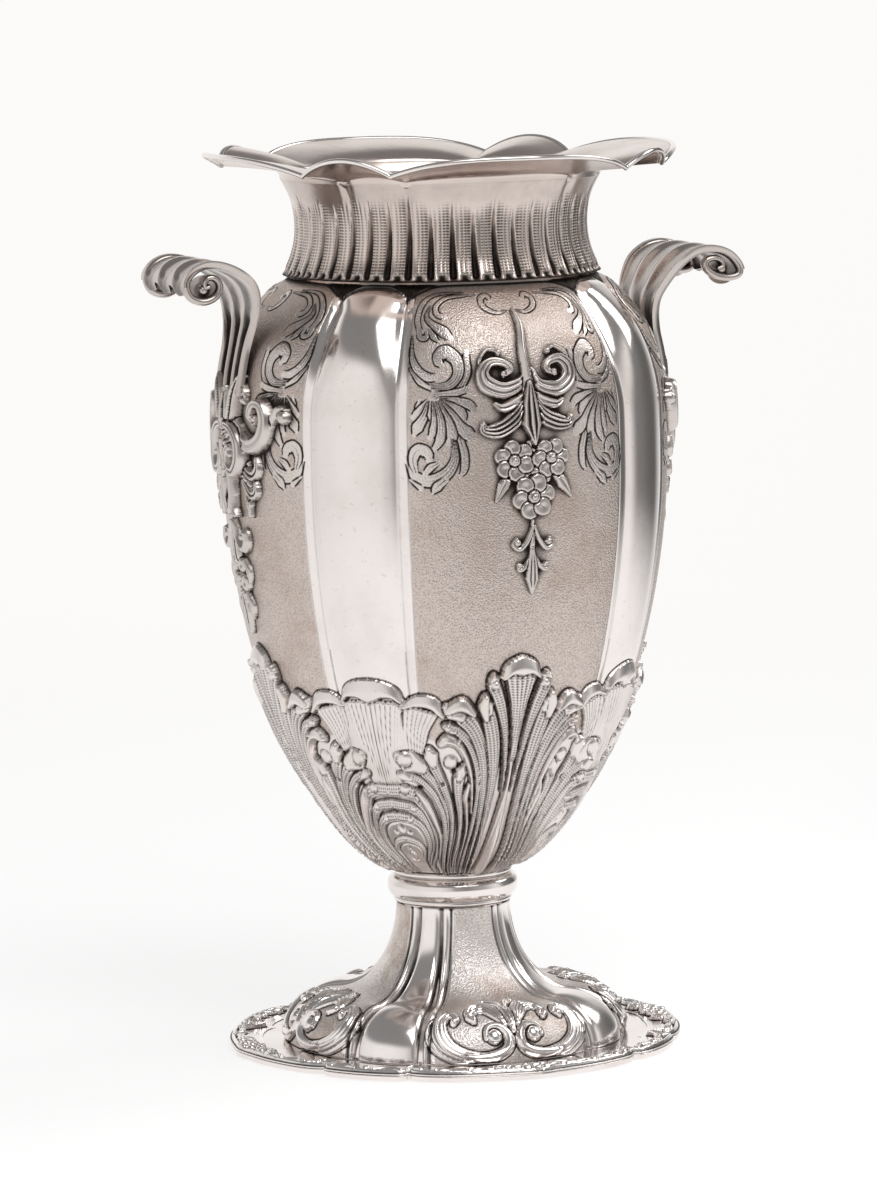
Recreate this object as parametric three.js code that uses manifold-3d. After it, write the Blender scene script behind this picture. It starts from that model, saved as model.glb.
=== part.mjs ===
// A two-handled silver vase on a lobed pedestal foot, in millimetres, +Z up, standing at z = 0.
// The front faces -Y and the handles stand on +X and -X. Seen from above, the vase has four
// broad panels, on the axes, and four narrow ones between them. Every piece is its own mesh.
import * as THREE from "three";
import Module from "manifold-3d";
import { mergeVertices } from "three/addons/utils/BufferGeometryUtils.js";

const wasm = await Module();
wasm.setup();

// Sheet and joints
const SHEET = 1;
const SOLDER_GAP = 0.3;
const CASTING_LIFT = 0.45;
const CHASED_ROOT = -0.7;
const JOIN_TOLERANCE = 0.02;

// Panels: half the angle of a broad panel, and the quarter turn that repeats
const BROAD_HALF = THREE.MathUtils.degToRad(33);
const QUARTER = Math.PI / 2;
const SIDES = { right: 0, back: QUARTER, left: 2 * QUARTER, front: 3 * QUARTER };

// Foot plate and its cast border
const PLATE_THICKNESS = 2.6;
const PLATE_RADIUS = 103.5;
const PLATE_BORE_RADIUS = 70;
const PLATE_NOTCH_DEPTH = 3;
const BORDER_WIDTH = 5.5;
const BORDER_HEIGHT = 2.4;
const BORDER_INSET = 0.6;
const SPRAY_HEIGHT = 4.2;
const SPRAY_HALF_LENGTH = 13;
const SPRAY_INSET = 5.6;

// Pedestal foot
const CROWN_RADIUS = 25.6;
const CROWN_HEIGHT = 40;
const WAIST_RADIUS = 54;
const DOME_RADIUS = 77.5;
const DOME_HEIGHT = 21.5;
const FOOT_GROOVE = 2.4;
const FOOT_RIB = 1.1;
const FOOT_SCROLL_HEIGHT = 2.2;

// Knop between foot and body
const KNOP_RADIUS = 29.7;
const KNOP_HEIGHT = 15.4;
const KNOP_LIP = 26.8;
const KNOP_BORE_RADIUS = 22;

// Body
const BODY_SEAT_RADIUS = 26;
const BELLY_RADIUS = 100.7;
const BASE_TO_BELLY = 187;
const BELLY_TO_MOUTH = 83;
const BODY_MOUTH_RADIUS = 70;
const BELLY_GROOVE = 2.2;
const SHOULDER_GROOVE = 7.5;
const LEAF_RELIEF = 2;

// Neck and petalled rim
const NECK_SEAT_RADIUS = 71.5;
const THROAT_RADIUS = 65.3;
const SEAT_TO_THROAT = 21;
const THROAT_TO_FLARE = 22;
const FLARE_START_RADIUS = 72;
const FLARE_RISE = 8.2;
const PETAL_RADIUS = 104.6;
const PETAL_NOTCH_DEPTH = 5;
const PETAL_WAVE = 3.5;
const FLUTE_DEPTH = 1.5;
const BROAD_FLUTES = 8;
const NARROW_FLUTES = 3;
const SPIGOT_LENGTH = 5;
const RIM_WIRE_WIDTH = 2.6;
const RIM_WIRE_HEIGHT = 2.4;

// Handles: a fluted band that stands on the body and rolls outwards
const HANDLE_THICKNESS = 2.4;
const HANDLE_STEM_WIDTH = 29;
const HANDLE_ROLL_WIDTH = 60;
const HANDLE_RIB = 1;
const STEM_LENGTH = 28;
const STEM_STAND_OFF = 0.8;
const STEM_BELOW_MOUTH = 48;
const ROLL_RADIUS = 9.4;
const ROLL_PITCH = 4.8;
const ROLL_TURNS = 1.2;
// The right roll reaches further out than the left one, lies lower and is wider than high
const ROLLS = {
  left: { reach: 23, rise: 10.1, stretch: 1 },
  right: { reach: 23, rise: 8.9, stretch: 1.35 },
};

// Cast ornaments on the panels: the points of their drawings are counted in CAST_UNIT
const CAST_UNIT = 1;
const CASTINGS_BELOW_MOUTH = 5;
const PLAQUE_HEIGHT = 3;
const MOUNT_HEIGHT = 5.5;
const MOUNT_BOSS_HEIGHT = 8.5;
const FLOWER_RADIUS = 9.8;
const FLOWER_HEIGHT = 3.4;
const BUD_RADIUS = 8.3;
const CLUSTER_BED = 1.8;
const FLOWER_PETALS = 6;

// Foot bolt inside the pedestal
const STUD_RADIUS = 4;
const STUD_BELOW_CROWN = 17;
const STUD_FLANGE_RADIUS = 14;
const STUD_FLANGE_THICKNESS = 2.5;
const STUD_CLEARANCE = 0.4;
const WASHER_RADIUS = 15;
const WASHER_THICKNESS = 1.6;
const NUT_RADIUS = 8.2;
const NUT_THICKNESS = 6;
const NUT_SIDES = 6;

// Heights that follow from the stack
const domeBase = PLATE_THICKNESS + SOLDER_GAP;
const waistZ = domeBase + DOME_HEIGHT;
const crownZ = waistZ + CROWN_HEIGHT;
const knopZ = crownZ + SOLDER_GAP;
const bodyZ = knopZ + KNOP_HEIGHT + SOLDER_GAP;
const bellyZ = bodyZ + BASE_TO_BELLY;
const mouthZ = bellyZ + BELLY_TO_MOUTH;
const neckZ = mouthZ + SOLDER_GAP;
const throatZ = neckZ + SEAT_TO_THROAT;
const flareZ = throatZ + THROAT_TO_FLARE;
const rimZ = flareZ + FLARE_RISE;

const { smoothstep, lerp } = THREE.MathUtils;

// The angle from the nearest broad panel's centre, -45 to 45 degrees
function quarterOffset(angle) {
  return angle - QUARTER * Math.round(angle / QUARTER);
}

// Where an angle lies across its panel: 0 at the panel's centre, 1 at the groove beside it
function acrossPanel(angle) {
  const d = Math.abs(quarterOffset(angle));
  if (d <= BROAD_HALF) return { broad: true, share: d / BROAD_HALF };
  return { broad: false, share: (QUARTER / 2 - d) / (QUARTER / 2 - BROAD_HALF) };
}

// Angles round the vase, with steps that fall on the grooves between the panels
function roundAngles(broadSteps, narrowSteps) {
  const angles = [];
  const narrow = QUARTER - 2 * BROAD_HALF;
  for (let q = 0; q < 4; q++) {
    const start = q * QUARTER - BROAD_HALF;
    for (let i = 0; i < broadSteps; i++) angles.push(start + (2 * BROAD_HALF * i) / broadSteps);
    for (let i = 0; i < narrowSteps; i++) {
      angles.push(start + 2 * BROAD_HALF + (narrow * i) / narrowSteps);
    }
  }
  return angles;
}

function polar(angle, radius, z) {
  return new THREE.Vector3(radius * Math.cos(angle), radius * Math.sin(angle), z);
}

// One closed surface through rings of points: a tube closed on itself, or capped at both ends
function loft(rings, closed = false) {
  const points = rings.flat();
  const n = rings[0].length;
  const faces = [];
  const last = closed ? rings.length : rings.length - 1;
  for (let i = 0; i < last; i++) {
    const low = i * n;
    const high = ((i + 1) % rings.length) * n;
    for (let j = 0; j < n; j++) {
      const k = (j + 1) % n;
      faces.push(low + j, low + k, high + k, low + j, high + k, high + j);
    }
  }
  if (!closed) {
    capRing(points, faces, 0, n, false);
    capRing(points, faces, (rings.length - 1) * n, n, true);
  }
  const geometry = new THREE.BufferGeometry().setFromPoints(points);
  geometry.setIndex(faces);
  return facingOut(geometry);
}

function capRing(points, faces, first, n, top) {
  const centre = new THREE.Vector3();
  for (let j = 0; j < n; j++) centre.add(points[first + j]);
  points.push(centre.divideScalar(n));
  const c = points.length - 1;
  for (let j = 0; j < n; j++) {
    const a = first + j;
    const b = first + ((j + 1) % n);
    if (top) faces.push(a, b, c);
    else faces.push(b, a, c);
  }
}

// Turns every face round where the surface encloses a negative volume
function facingOut(geometry) {
  const p = geometry.getAttribute("position");
  const index = geometry.getIndex().array;
  const [a, b, c] = [new THREE.Vector3(), new THREE.Vector3(), new THREE.Vector3()];
  let volume = 0;
  for (let i = 0; i < index.length; i += 3) {
    a.fromBufferAttribute(p, index[i]);
    b.fromBufferAttribute(p, index[i + 1]);
    c.fromBufferAttribute(p, index[i + 2]);
    volume += a.dot(b.cross(c));
  }
  if (volume < 0) {
    for (let i = 0; i < index.length; i += 3) [index[i], index[i + 1]] = [index[i + 1], index[i]];
  }
  geometry.computeVertexNormals();
  return geometry;
}

function toSolid(geometry) {
  const bare = geometry.clone();
  bare.deleteAttribute("normal");
  bare.deleteAttribute("uv");
  const merged = mergeVertices(bare, 1e-4);
  return new wasm.Manifold(
    new wasm.Mesh({
      numProp: 3,
      vertProperties: merged.getAttribute("position").array,
      triVerts: new Uint32Array(merged.getIndex().array),
    }),
  );
}

function toGeometry(solid) {
  const mesh = solid.getMesh();
  const geometry = new THREE.BufferGeometry();
  geometry.setAttribute("position", new THREE.BufferAttribute(mesh.vertProperties, 3));
  geometry.setIndex(new THREE.BufferAttribute(mesh.triVerts, 1));
  geometry.computeVertexNormals();
  return geometry;
}

function joined(geometries) {
  const whole = geometries.map(toSolid).reduce((all, one) => all.add(one));
  return toGeometry(whole.simplify(JOIN_TOLERANCE));
}

// The body's outline at the crest of its lobes
function bodyCrest(z) {
  if (z <= bellyZ) {
    const t = Math.max(0, (z - bodyZ) / BASE_TO_BELLY);
    const rise = Math.pow(1 - Math.pow(1 - t, 1.87), 0.63);
    return BODY_SEAT_RADIUS + (BELLY_RADIUS - BODY_SEAT_RADIUS) * rise;
  }
  const t = Math.min(1, (z - bellyZ) / BELLY_TO_MOUTH);
  return BELLY_RADIUS - (BELLY_RADIUS - BODY_MOUTH_RADIUS) * Math.pow(t, 3.9);
}

// How deep the grooves between the lobes run: deepest on the shoulder, none at base and mouth
function bodyGroove(z) {
  const low = smoothstep((z - bodyZ) / BASE_TO_BELLY, 0.02, 0.3);
  const high = (z - bellyZ) / BELLY_TO_MOUTH;
  const shoulder = smoothstep(high, 0.3, 0.8) * (1 - smoothstep(high, 0.84, 1));
  const mouth = 1 - smoothstep(high, 0.84, 1);
  return BELLY_GROOVE * low * mouth + (SHOULDER_GROOVE - BELLY_GROOVE) * shoulder;
}

function bodyRadius(angle, z) {
  const { broad, share } = acrossPanel(angle);
  return bodyCrest(z) - bodyGroove(z) * Math.pow(share, broad ? 4.5 : 2.6);
}

// A point on the body, or lift above it: u runs round from a panel's centre line, at the belly
function onBody(panelAngle) {
  return (u, z, lift) => {
    const angle = panelAngle + u / BELLY_RADIUS;
    const step = 0.5;
    const slope = (bodyRadius(angle, z + step) - bodyRadius(angle, z - step)) / (2 * step);
    const out = 1 / Math.hypot(1, slope);
    return polar(angle, bodyRadius(angle, z) + lift * out, z - lift * out * slope);
  };
}

// Top edge of the embossed leaves: degrees from a broad panel's centre, height above the base
const LEAF_LINE = [
  [0, 105], [4, 97], [7.5, 98], [9.5, 85], [11.5, 88], [14.5, 82], [17.3, 87],
  [21.3, 81], [27, 87], [31.5, 85], [36, 93], [45, 96],
];

function leafTop(angle) {
  const d = THREE.MathUtils.radToDeg(Math.abs(quarterOffset(angle)));
  const next = Math.max(1, LEAF_LINE.findIndex(([at]) => at >= d));
  const [a0, h0] = LEAF_LINE[next - 1];
  const [a1, h1] = LEAF_LINE[next];
  const height = lerp(h0, h1, (d - a0) / (a1 - a0));
  return bodyZ + (height * BASE_TO_BELLY) / (BASE_TO_BELLY + SOLDER_GAP);
}

function body() {
  const angles = roundAngles(12, 4);
  const rings = [];
  const ring = (heightOf, extra) =>
    rings.push(angles.map((a) => polar(a, bodyRadius(a, heightOf(a)) + extra, heightOf(a))));
  rings.push(angles.map((a) => polar(a, BODY_SEAT_RADIUS, bodyZ)));
  for (const share of [0.07, 0.24, 0.55, 1]) {
    ring((a) => lerp(bodyZ, leafTop(a), share), LEAF_RELIEF * Math.min(1, 0.4 + share));
  }
  ring((a) => leafTop(a) + LEAF_RELIEF / 2, 0);
  ring((a) => lerp(leafTop(a), bellyZ, 0.5), 0);
  for (const share of [0, 0.4, 0.62, 0.77, 0.88, 0.95, 1]) {
    ring(() => lerp(bellyZ, mouthZ, share), 0);
  }
  for (const share of [1, 0.88, 0.7, 0.4, 0]) {
    ring(() => lerp(bellyZ, mouthZ, share), -SHEET);
  }
  for (const share of [0.72, 0.46, 0.27, 0.13, 0.04]) {
    ring(() => lerp(bodyZ + SHEET, bellyZ, share), -SHEET);
  }
  rings.push(angles.map((a) => polar(a, BODY_SEAT_RADIUS - SHEET, bodyZ + SHEET)));
  return loft(rings);
}

// The neck's outline below the flare, and its flutes, which fade out upwards
function neckRadius(z) {
  if (z <= throatZ) {
    const t = (throatZ - z) / SEAT_TO_THROAT;
    return THROAT_RADIUS + (NECK_SEAT_RADIUS - THROAT_RADIUS) * t * t;
  }
  const t = (z - throatZ) / THROAT_TO_FLARE;
  return THROAT_RADIUS + (FLARE_START_RADIUS - THROAT_RADIUS) * t * t;
}

function petalEdge(angle) {
  const { broad, share } = acrossPanel(angle);
  const fall = Math.pow(share, broad ? 3 : 2);
  return {
    radius: PETAL_RADIUS - PETAL_NOTCH_DEPTH * fall - (broad ? 0 : 2 * (1 - share)),
    z: rimZ + PETAL_WAVE * (1 - 2 * fall),
  };
}

function neck() {
  const angles = roundAngles(2 * BROAD_FLUTES, 2 * NARROW_FLUTES);
  const flute = (j, z) => (j % 2 ? 0 : FLUTE_DEPTH * (1 - smoothstep(z, throatZ, flareZ)));
  const wall = (z, extra) =>
    angles.map((a, j) => polar(a, neckRadius(z) - flute(j, z) + extra, z));
  const flare = (share, drop, inset) =>
    angles.map((a) => {
      const edge = petalEdge(a);
      const radius = lerp(FLARE_START_RADIUS, edge.radius - inset, share);
      const rise = Math.pow(share, 0.38);
      return polar(a, radius, lerp(flareZ, edge.z, rise) - drop);
    });
  const spigotRadius = BODY_MOUTH_RADIUS - SHEET - SOLDER_GAP;
  const ringAt = (radius, z) => angles.map((a) => polar(a, radius, z));
  const outer = [0, 0.4, 1].map((t) => wall(lerp(neckZ, throatZ, t), 0));
  const upper = [0.55, 1].map((t) => wall(lerp(throatZ, flareZ, t), 0));
  const inner = [0.8, 0].map((t) => wall(lerp(throatZ, flareZ, t), -SHEET));
  return loft(
    [
      ringAt(spigotRadius - SHEET, neckZ - SPIGOT_LENGTH),
      ringAt(spigotRadius, neckZ - SPIGOT_LENGTH),
      ringAt(spigotRadius, neckZ),
      ...outer,
      ...upper,
      flare(0.12, 0, 0),
      flare(0.4, 0, 0),
      flare(1, 0, 0),
      flare(1, -SHEET, 0),
      flare(0.4, -SHEET, 0),
      flare(0.1, -SHEET, 0),
      ...inner,
      wall(lerp(neckZ, throatZ, 0.3), -SHEET),
    ],
    true,
  );
}

// The half-round wire soldered round the petals' edge
function rimWire() {
  const angles = roundAngles(2 * BROAD_FLUTES, 2 * NARROW_FLUTES);
  const corner = (out, up) =>
    angles.map((a) => {
      const edge = petalEdge(a);
      return polar(a, edge.radius + SOLDER_GAP + out, edge.z + SHEET / 2 + up);
    });
  return loft(
    [
      corner(0, -RIM_WIRE_HEIGHT / 2),
      corner(RIM_WIRE_WIDTH, 0),
      corner(0, RIM_WIRE_HEIGHT / 2),
    ],
    true,
  );
}

// A ring that bulges between two flat seats
function knop() {
  const half = KNOP_HEIGHT / 2;
  const profile = [new THREE.Vector2(KNOP_BORE_RADIUS, 0)];
  const steps = 6;
  for (let i = 0; i <= steps; i++) {
    const t = (Math.PI * i) / steps;
    const bulge = KNOP_LIP + (KNOP_RADIUS - KNOP_LIP) * Math.sqrt(Math.sin(t));
    profile.push(new THREE.Vector2(bulge, half - half * Math.cos(t)));
  }
  profile.push(new THREE.Vector2(KNOP_BORE_RADIUS, KNOP_HEIGHT));
  profile.push(profile[0].clone());
  const ring = new THREE.LatheGeometry(profile, 28);
  ring.rotateX(Math.PI / 2);
  ring.translate(0, 0, knopZ);
  return ring;
}

// The pedestal's outline by turn: 0 at the crown, 1 at the waist, 2 at the foot of the dome
function footPoint(turn) {
  if (turn <= 1) {
    const t = (turn * Math.PI) / 2;
    return {
      r: WAIST_RADIUS - (WAIST_RADIUS - CROWN_RADIUS) * Math.cos(t),
      z: crownZ - CROWN_HEIGHT * Math.sin(t),
    };
  }
  const t = ((turn - 1) * Math.PI) / 2;
  return {
    r: WAIST_RADIUS + (DOME_RADIUS - WAIST_RADIUS) * Math.sin(t),
    z: domeBase + DOME_HEIGHT * Math.cos(t),
  };
}

// Lobes of the pedestal: grooves beside the narrow panels, each with a rib along its edge
function footLobe(angle, turn) {
  const { broad, share } = acrossPanel(angle);
  const depth = FOOT_GROOVE * smoothstep(turn, 0.1, 1.4);
  const rib = FOOT_RIB * (broad && share > 0.85 && share < 0.97 ? 1 : 0);
  return rib - depth * Math.pow(share, broad ? 8 : 3);
}

function onFoot(panelAngle) {
  return (u, s, lift) => {
    const angle = panelAngle + u / DOME_RADIUS;
    const arc = ((DOME_HEIGHT + DOME_RADIUS - WAIST_RADIUS) * Math.PI) / 4;
    const turn = Math.max(0, 2 - s / arc);
    const near = 0.02;
    const [p, q] = [footPoint(turn - near), footPoint(turn + near)];
    const along = Math.hypot(q.r - p.r, q.z - p.z);
    const at = footPoint(turn);
    const out = (p.z - q.z) / along;
    const up = (q.r - p.r) / along;
    const lobe = footLobe(angle, turn);
    return polar(angle, at.r + lobe * out + lift * out, at.z + lobe * up + lift * up);
  };
}

// Where the foot's facets fall across a broad panel: close together at its ribs
const FOOT_BROAD_SHARES = [
  -1, -0.95, -0.88, -0.82, -0.61, -0.37, -0.13, 0.11, 0.35, 0.59, 0.82, 0.88, 0.95,
];

function footDome() {
  const angles = [];
  for (let q = 0; q < 4; q++) {
    for (const share of FOOT_BROAD_SHARES) angles.push(q * QUARTER + share * BROAD_HALF);
    for (const share of [0, 0.33, 0.67]) {
      angles.push(q * QUARTER + BROAD_HALF + share * (QUARTER - 2 * BROAD_HALF));
    }
  }
  const wall = (turn) => {
    const { r, z } = footPoint(turn);
    return angles.map((a) => polar(a, r + footLobe(a, turn), z));
  };
  const level = (radius, z) => angles.map((a) => polar(a, radius, z));
  const boltHole = STUD_RADIUS + STUD_CLEARANCE;
  const outer = [0, 0.22, 0.45, 0.75, 1, 1.17, 1.34, 1.5, 1.67, 1.83, 2];
  const inner = [2, 1.5, 1, 0.6];
  const under = (turn) => {
    const { r, z } = footPoint(turn);
    const flat = smoothstep(turn, 0.5, 1) * (1 - smoothstep(turn, 1, 2));
    return angles.map((a) => polar(a, r + footLobe(a, turn) - SHEET, z - SHEET * flat * 1.6));
  };
  const sheet = loft(
    [
      level(boltHole, crownZ),
      ...outer.map(wall),
      ...inner.map(under),
      level(CROWN_RADIUS - SHEET, crownZ - SHEET),
      level(boltHole, crownZ - SHEET),
    ],
    true,
  );
  return joined([sheet, ...Object.values(SIDES).flatMap(footScrolls)]);
}

// The scalloped edge of the foot plate: shallow bows between small bracket notches
function plateEdge(angle) {
  const { broad, share } = acrossPanel(angle);
  const bow = broad ? 1 - Math.pow(share, 2) * 0.6 : 0.45 + 0.35 * (1 - share * share);
  const notch = Math.pow(share, 14);
  const centre = broad ? Math.exp(-Math.pow(share / 0.16, 2)) : 0;
  return PLATE_RADIUS - PLATE_NOTCH_DEPTH * (1 - bow + notch - 0.4 * centre);
}

function footPlate() {
  const angles = roundAngles(12, 6);
  const edge = (z) => angles.map((a) => polar(a, plateEdge(a), z));
  const bore = (z) => angles.map((a) => polar(a, PLATE_BORE_RADIUS, z));
  return loft([edge(0), edge(PLATE_THICKNESS), bore(PLATE_THICKNESS), bore(0)], true);
}

function footBorder() {
  const angles = roundAngles(16, 4);
  const low = PLATE_THICKNESS + SOLDER_GAP;
  const swell = (a) => {
    const { share } = acrossPanel(a);
    return 1 + 0.7 * Math.exp(-Math.pow(share / 0.22, 2));
  };
  const line = (share, rise) =>
    angles.map((a) => {
      const inset = BORDER_INSET + BORDER_WIDTH * swell(a) * share;
      return polar(a, plateEdge(a) - inset, low + BORDER_HEIGHT * rise);
    });
  const ring = loft([line(0, 0), line(0.25, 1), line(0.7, 0.8), line(1, 0)], true);
  return joined([ring, ...Object.values(SIDES).flatMap(borderSpray)]);
}

function onPlate(panelAngle) {
  return (u, inset, lift) => {
    const angle = panelAngle + u / PLATE_RADIUS;
    return polar(angle, plateEdge(angle) - inset, PLATE_THICKNESS + SOLDER_GAP + lift);
  };
}

// A spray of small blooms cast in the border at the middle of each broad panel
function borderSpray(panelAngle) {
  const surface = onPlate(panelAngle);
  const points = [-1, -0.5, 0, 0.5, 1].map((side) => [side * SPRAY_HALF_LENGTH, SPRAY_INSET]);
  return [bar(surface, points, [1.6, 4, 2.6, 4.8, 2.6, 4, 1.6], SPRAY_HEIGHT, 6)];
}

// Cross-sections of raised work: how far to the side, and what share of the height
const CAST_SECTION = [[-1, 0], [-0.5, 1], [0.5, 1], [1, 0]];
const CHASED_SECTION = [[-1, 0], [0, 1], [1, 0]];

// A scroll or stem that follows points on a surface, with half widths spread along it
function bar(surface, points, widths, height, steps, section = CAST_SECTION, base = CASTING_LIFT) {
  const curve = new THREE.CatmullRomCurve3(points.map(([u, v]) => new THREE.Vector3(u, v, 0)));
  const rings = [];
  for (let i = 0; i <= steps; i++) {
    const t = i / steps;
    const at = curve.getPoint(t);
    const along = curve.getTangent(t);
    const place = t * (widths.length - 1);
    const k = Math.min(widths.length - 2, Math.floor(place));
    const half = lerp(widths[k], widths[k + 1], place - k);
    const rise = height * Math.min(1, 0.45 + half / 3);
    rings.push(
      section.map(([side, up]) =>
        surface(at.x - along.y * half * side, at.y + along.x * half * side, base + up * rise),
      ),
    );
  }
  return loft(rings);
}

// A flower seen from above: cleft petals round a sunk ring and a round eye
function flower(surface, u, v, radius, height, petals) {
  const spokes = petals * 2;
  const ring = (share, lift) =>
    Array.from({ length: spokes }, (_, i) => {
      const a = (2 * Math.PI * i) / spokes;
      const cleft = i % 2 === 0 && share > 0.5 ? 0.8 : 1;
      const r = radius * share * cleft;
      return surface(u + r * Math.cos(a), v + r * Math.sin(a), CASTING_LIFT + lift);
    });
  return loft([ring(1, 0), ring(0.85, height * 0.8), ring(0.36, height * 0.45), ring(0.2, height)]);
}

// Both sides of a symmetrical ornament
function pair(make) {
  return [make(1), make(-1)];
}

// Draws castings on a panel of the body, at points u round from its middle and down from a level
// a little below the mouth
function drawingOn(panelAngle) {
  const surface = onBody(panelAngle);
  const top = mouthZ - CASTINGS_BELOW_MOUTH;
  const place = ([u, down]) => [u * CAST_UNIT, top - down * CAST_UNIT];
  return {
    scroll: (points, widths, height, steps) => {
      const halves = widths.map((width) => width * CAST_UNIT);
      return bar(surface, points.map(place), halves, height * CAST_UNIT, steps);
    },
    bloom: (centre, radius) => flower(surface, ...place(centre), radius, FLOWER_HEIGHT, FLOWER_PETALS),
  };
}

// Scrolls and hanging leaves of the front and back plaques
function plaque(panelAngle) {
  const { scroll } = drawingOn(panelAngle);
  return joined([
    scroll([[0, 5], [1, 20], [0, 42]], [1.1, 1.4, 2.4], PLAQUE_HEIGHT, 6),
    scroll([[0, 40], [0, 52], [0, 63]], [1.6, 4.6, 0.5], PLAQUE_HEIGHT, 4),
    ...pair((s) =>
      scroll(
        [
          [1 * s, 30], [7 * s, 41], [14 * s, 45], [21 * s, 40],
          [20 * s, 31], [13 * s, 30], [13 * s, 36],
        ],
        [1.4, 3, 3.6, 3.2, 2.4, 2, 1.6],
        PLAQUE_HEIGHT,
        11,
      ),
    ),
    ...pair((s) =>
      scroll([[21 * s, 36], [22.5 * s, 26], [17 * s, 20], [13 * s, 20.5]], [1.2, 1, 1], 2, 5),
    ),
    ...pair((s) =>
      scroll(
        [[1 * s, 42], [7 * s, 51], [14 * s, 57], [20.5 * s, 60]],
        [1.4, 3.2, 3, 1.8],
        PLAQUE_HEIGHT,
        4,
      ),
    ),
  ]);
}

// Three open flowers over a bed of leaves
function flowerCluster(panelAngle) {
  const { scroll, bloom } = drawingOn(panelAngle);
  const [left, right, low] = [[-9.2, 75], [9.2, 74], [0, 90.5]];
  return joined([
    ...[left, right, low].map((centre) => bloom(centre, FLOWER_RADIUS)),
    scroll([left, [0, 80], right], [3, 4, 3], CLUSTER_BED, 2),
    scroll([[0, 78], [0, 84], low], [4, 4, 3], CLUSTER_BED, 2),
    ...pair((s) => scroll([[6 * s, 82], [12 * s, 85], [17.5 * s, 90]], [1.5, 4, 0.6], CLUSTER_BED, 3)),
  ]);
}

// The stem, scrolls and leaf that hang below the flowers
function drop(panelAngle) {
  const { scroll } = drawingOn(panelAngle);
  return joined([
    scroll([[0, 101.5], [0, 108], [0, 113]], [1, 1.3, 1.8], 2.2, 2),
    scroll([[0, 112], [0, 124], [0, 134]], [1.6, 4.2, 0.5], 2.4, 4),
    ...pair((s) =>
      scroll([[0.5 * s, 104], [3 * s, 111], [7.5 * s, 113], [8.5 * s, 109]], [1, 1.6, 2, 1.6], 2.4, 4),
    ),
    ...pair((s) => scroll([[1 * s, 119], [4.5 * s, 123], [6.5 * s, 120]], [1, 1.5, 1.2], 2, 3)),
  ]);
}

// The cast mount under each handle: paired scrolls, volutes and leaves
function handleMount(panelAngle) {
  const { scroll } = drawingOn(panelAngle);
  return joined([
    scroll([[0, 47], [0, 62], [0, 98]], [8, 7.5, 2], MOUNT_BOSS_HEIGHT, 5),
    ...pair((s) =>
      scroll(
        [
          [4 * s, 50], [13 * s, 60], [24 * s, 66], [33 * s, 59],
          [32 * s, 50], [26 * s, 51], [27 * s, 57],
        ],
        [2.5, 3.4, 4, 3.8, 2.8, 2.2, 1.8],
        MOUNT_HEIGHT,
        13,
      ),
    ),
    ...pair((s) =>
      scroll([[33 * s, 60], [38 * s, 53], [45 * s, 49], [46 * s, 54]], [2, 2, 2.4, 2], 3.6, 6),
    ),
    ...pair((s) =>
      scroll(
        [[8 * s, 62], [16 * s, 70], [13 * s, 80], [6 * s, 76], [8 * s, 70]],
        [2.6, 3, 2.8, 2.2, 1.8],
        MOUNT_HEIGHT,
        9,
      ),
    ),
    ...pair((s) => scroll([[13 * s, 66], [18 * s, 80], [20 * s, 97]], [2.6, 3.4, 1.6], 4, 4)),
    ...pair((s) => scroll([[17 * s, 79], [24 * s, 82], [27 * s, 76]], [1.8, 2.6, 1.4], 3.4, 3)),
  ]);
}

// The pendant that hangs from the mount: scrolls, a flower and a leaf
function handlePendant(panelAngle) {
  const { scroll, bloom } = drawingOn(panelAngle);
  return joined([
    scroll([[0, 101], [0, 112], [0, 126]], [1.6, 2.6, 3], 3.4, 5),
    ...pair((s) =>
      scroll([[1 * s, 103], [5 * s, 111], [12 * s, 111], [12 * s, 105]], [1.6, 2.2, 2.4, 1.8], 3.8, 6),
    ),
    bloom([0, 128], BUD_RADIUS),
    scroll([[0, 134], [0, 143], [0, 152]], [2, 4.2, 0.6], 2.8, 5),
  ]);
}

// Paired C-scrolls with a palmette, embossed on each broad panel of the foot: they are part of it
function footScrolls(panelAngle) {
  const surface = onFoot(panelAngle);
  const draw = (points, widths, steps) =>
    bar(surface, points, widths, FOOT_SCROLL_HEIGHT, steps, CHASED_SECTION, CHASED_ROOT);
  return [
    draw([[0, 12], [0, 21], [0, 29]], [1.6, 3.6, 1.6], 2),
    ...pair((s) =>
      draw(
        [
          [10 * s, 12], [6 * s, 14], [2.5 * s, 10], [6 * s, 4], [16 * s, 3],
          [28 * s, 6], [34 * s, 14], [30 * s, 21], [24 * s, 18],
        ],
        [2.6, 2.2, 2, 2.2, 2.4, 2.8, 2.8, 2.4, 2],
        11,
      ),
    ),
    ...pair((s) => draw([[3 * s, 15], [8 * s, 22], [14 * s, 21]], [2, 3.8, 1.4], 3)),
  ];
}

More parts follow.
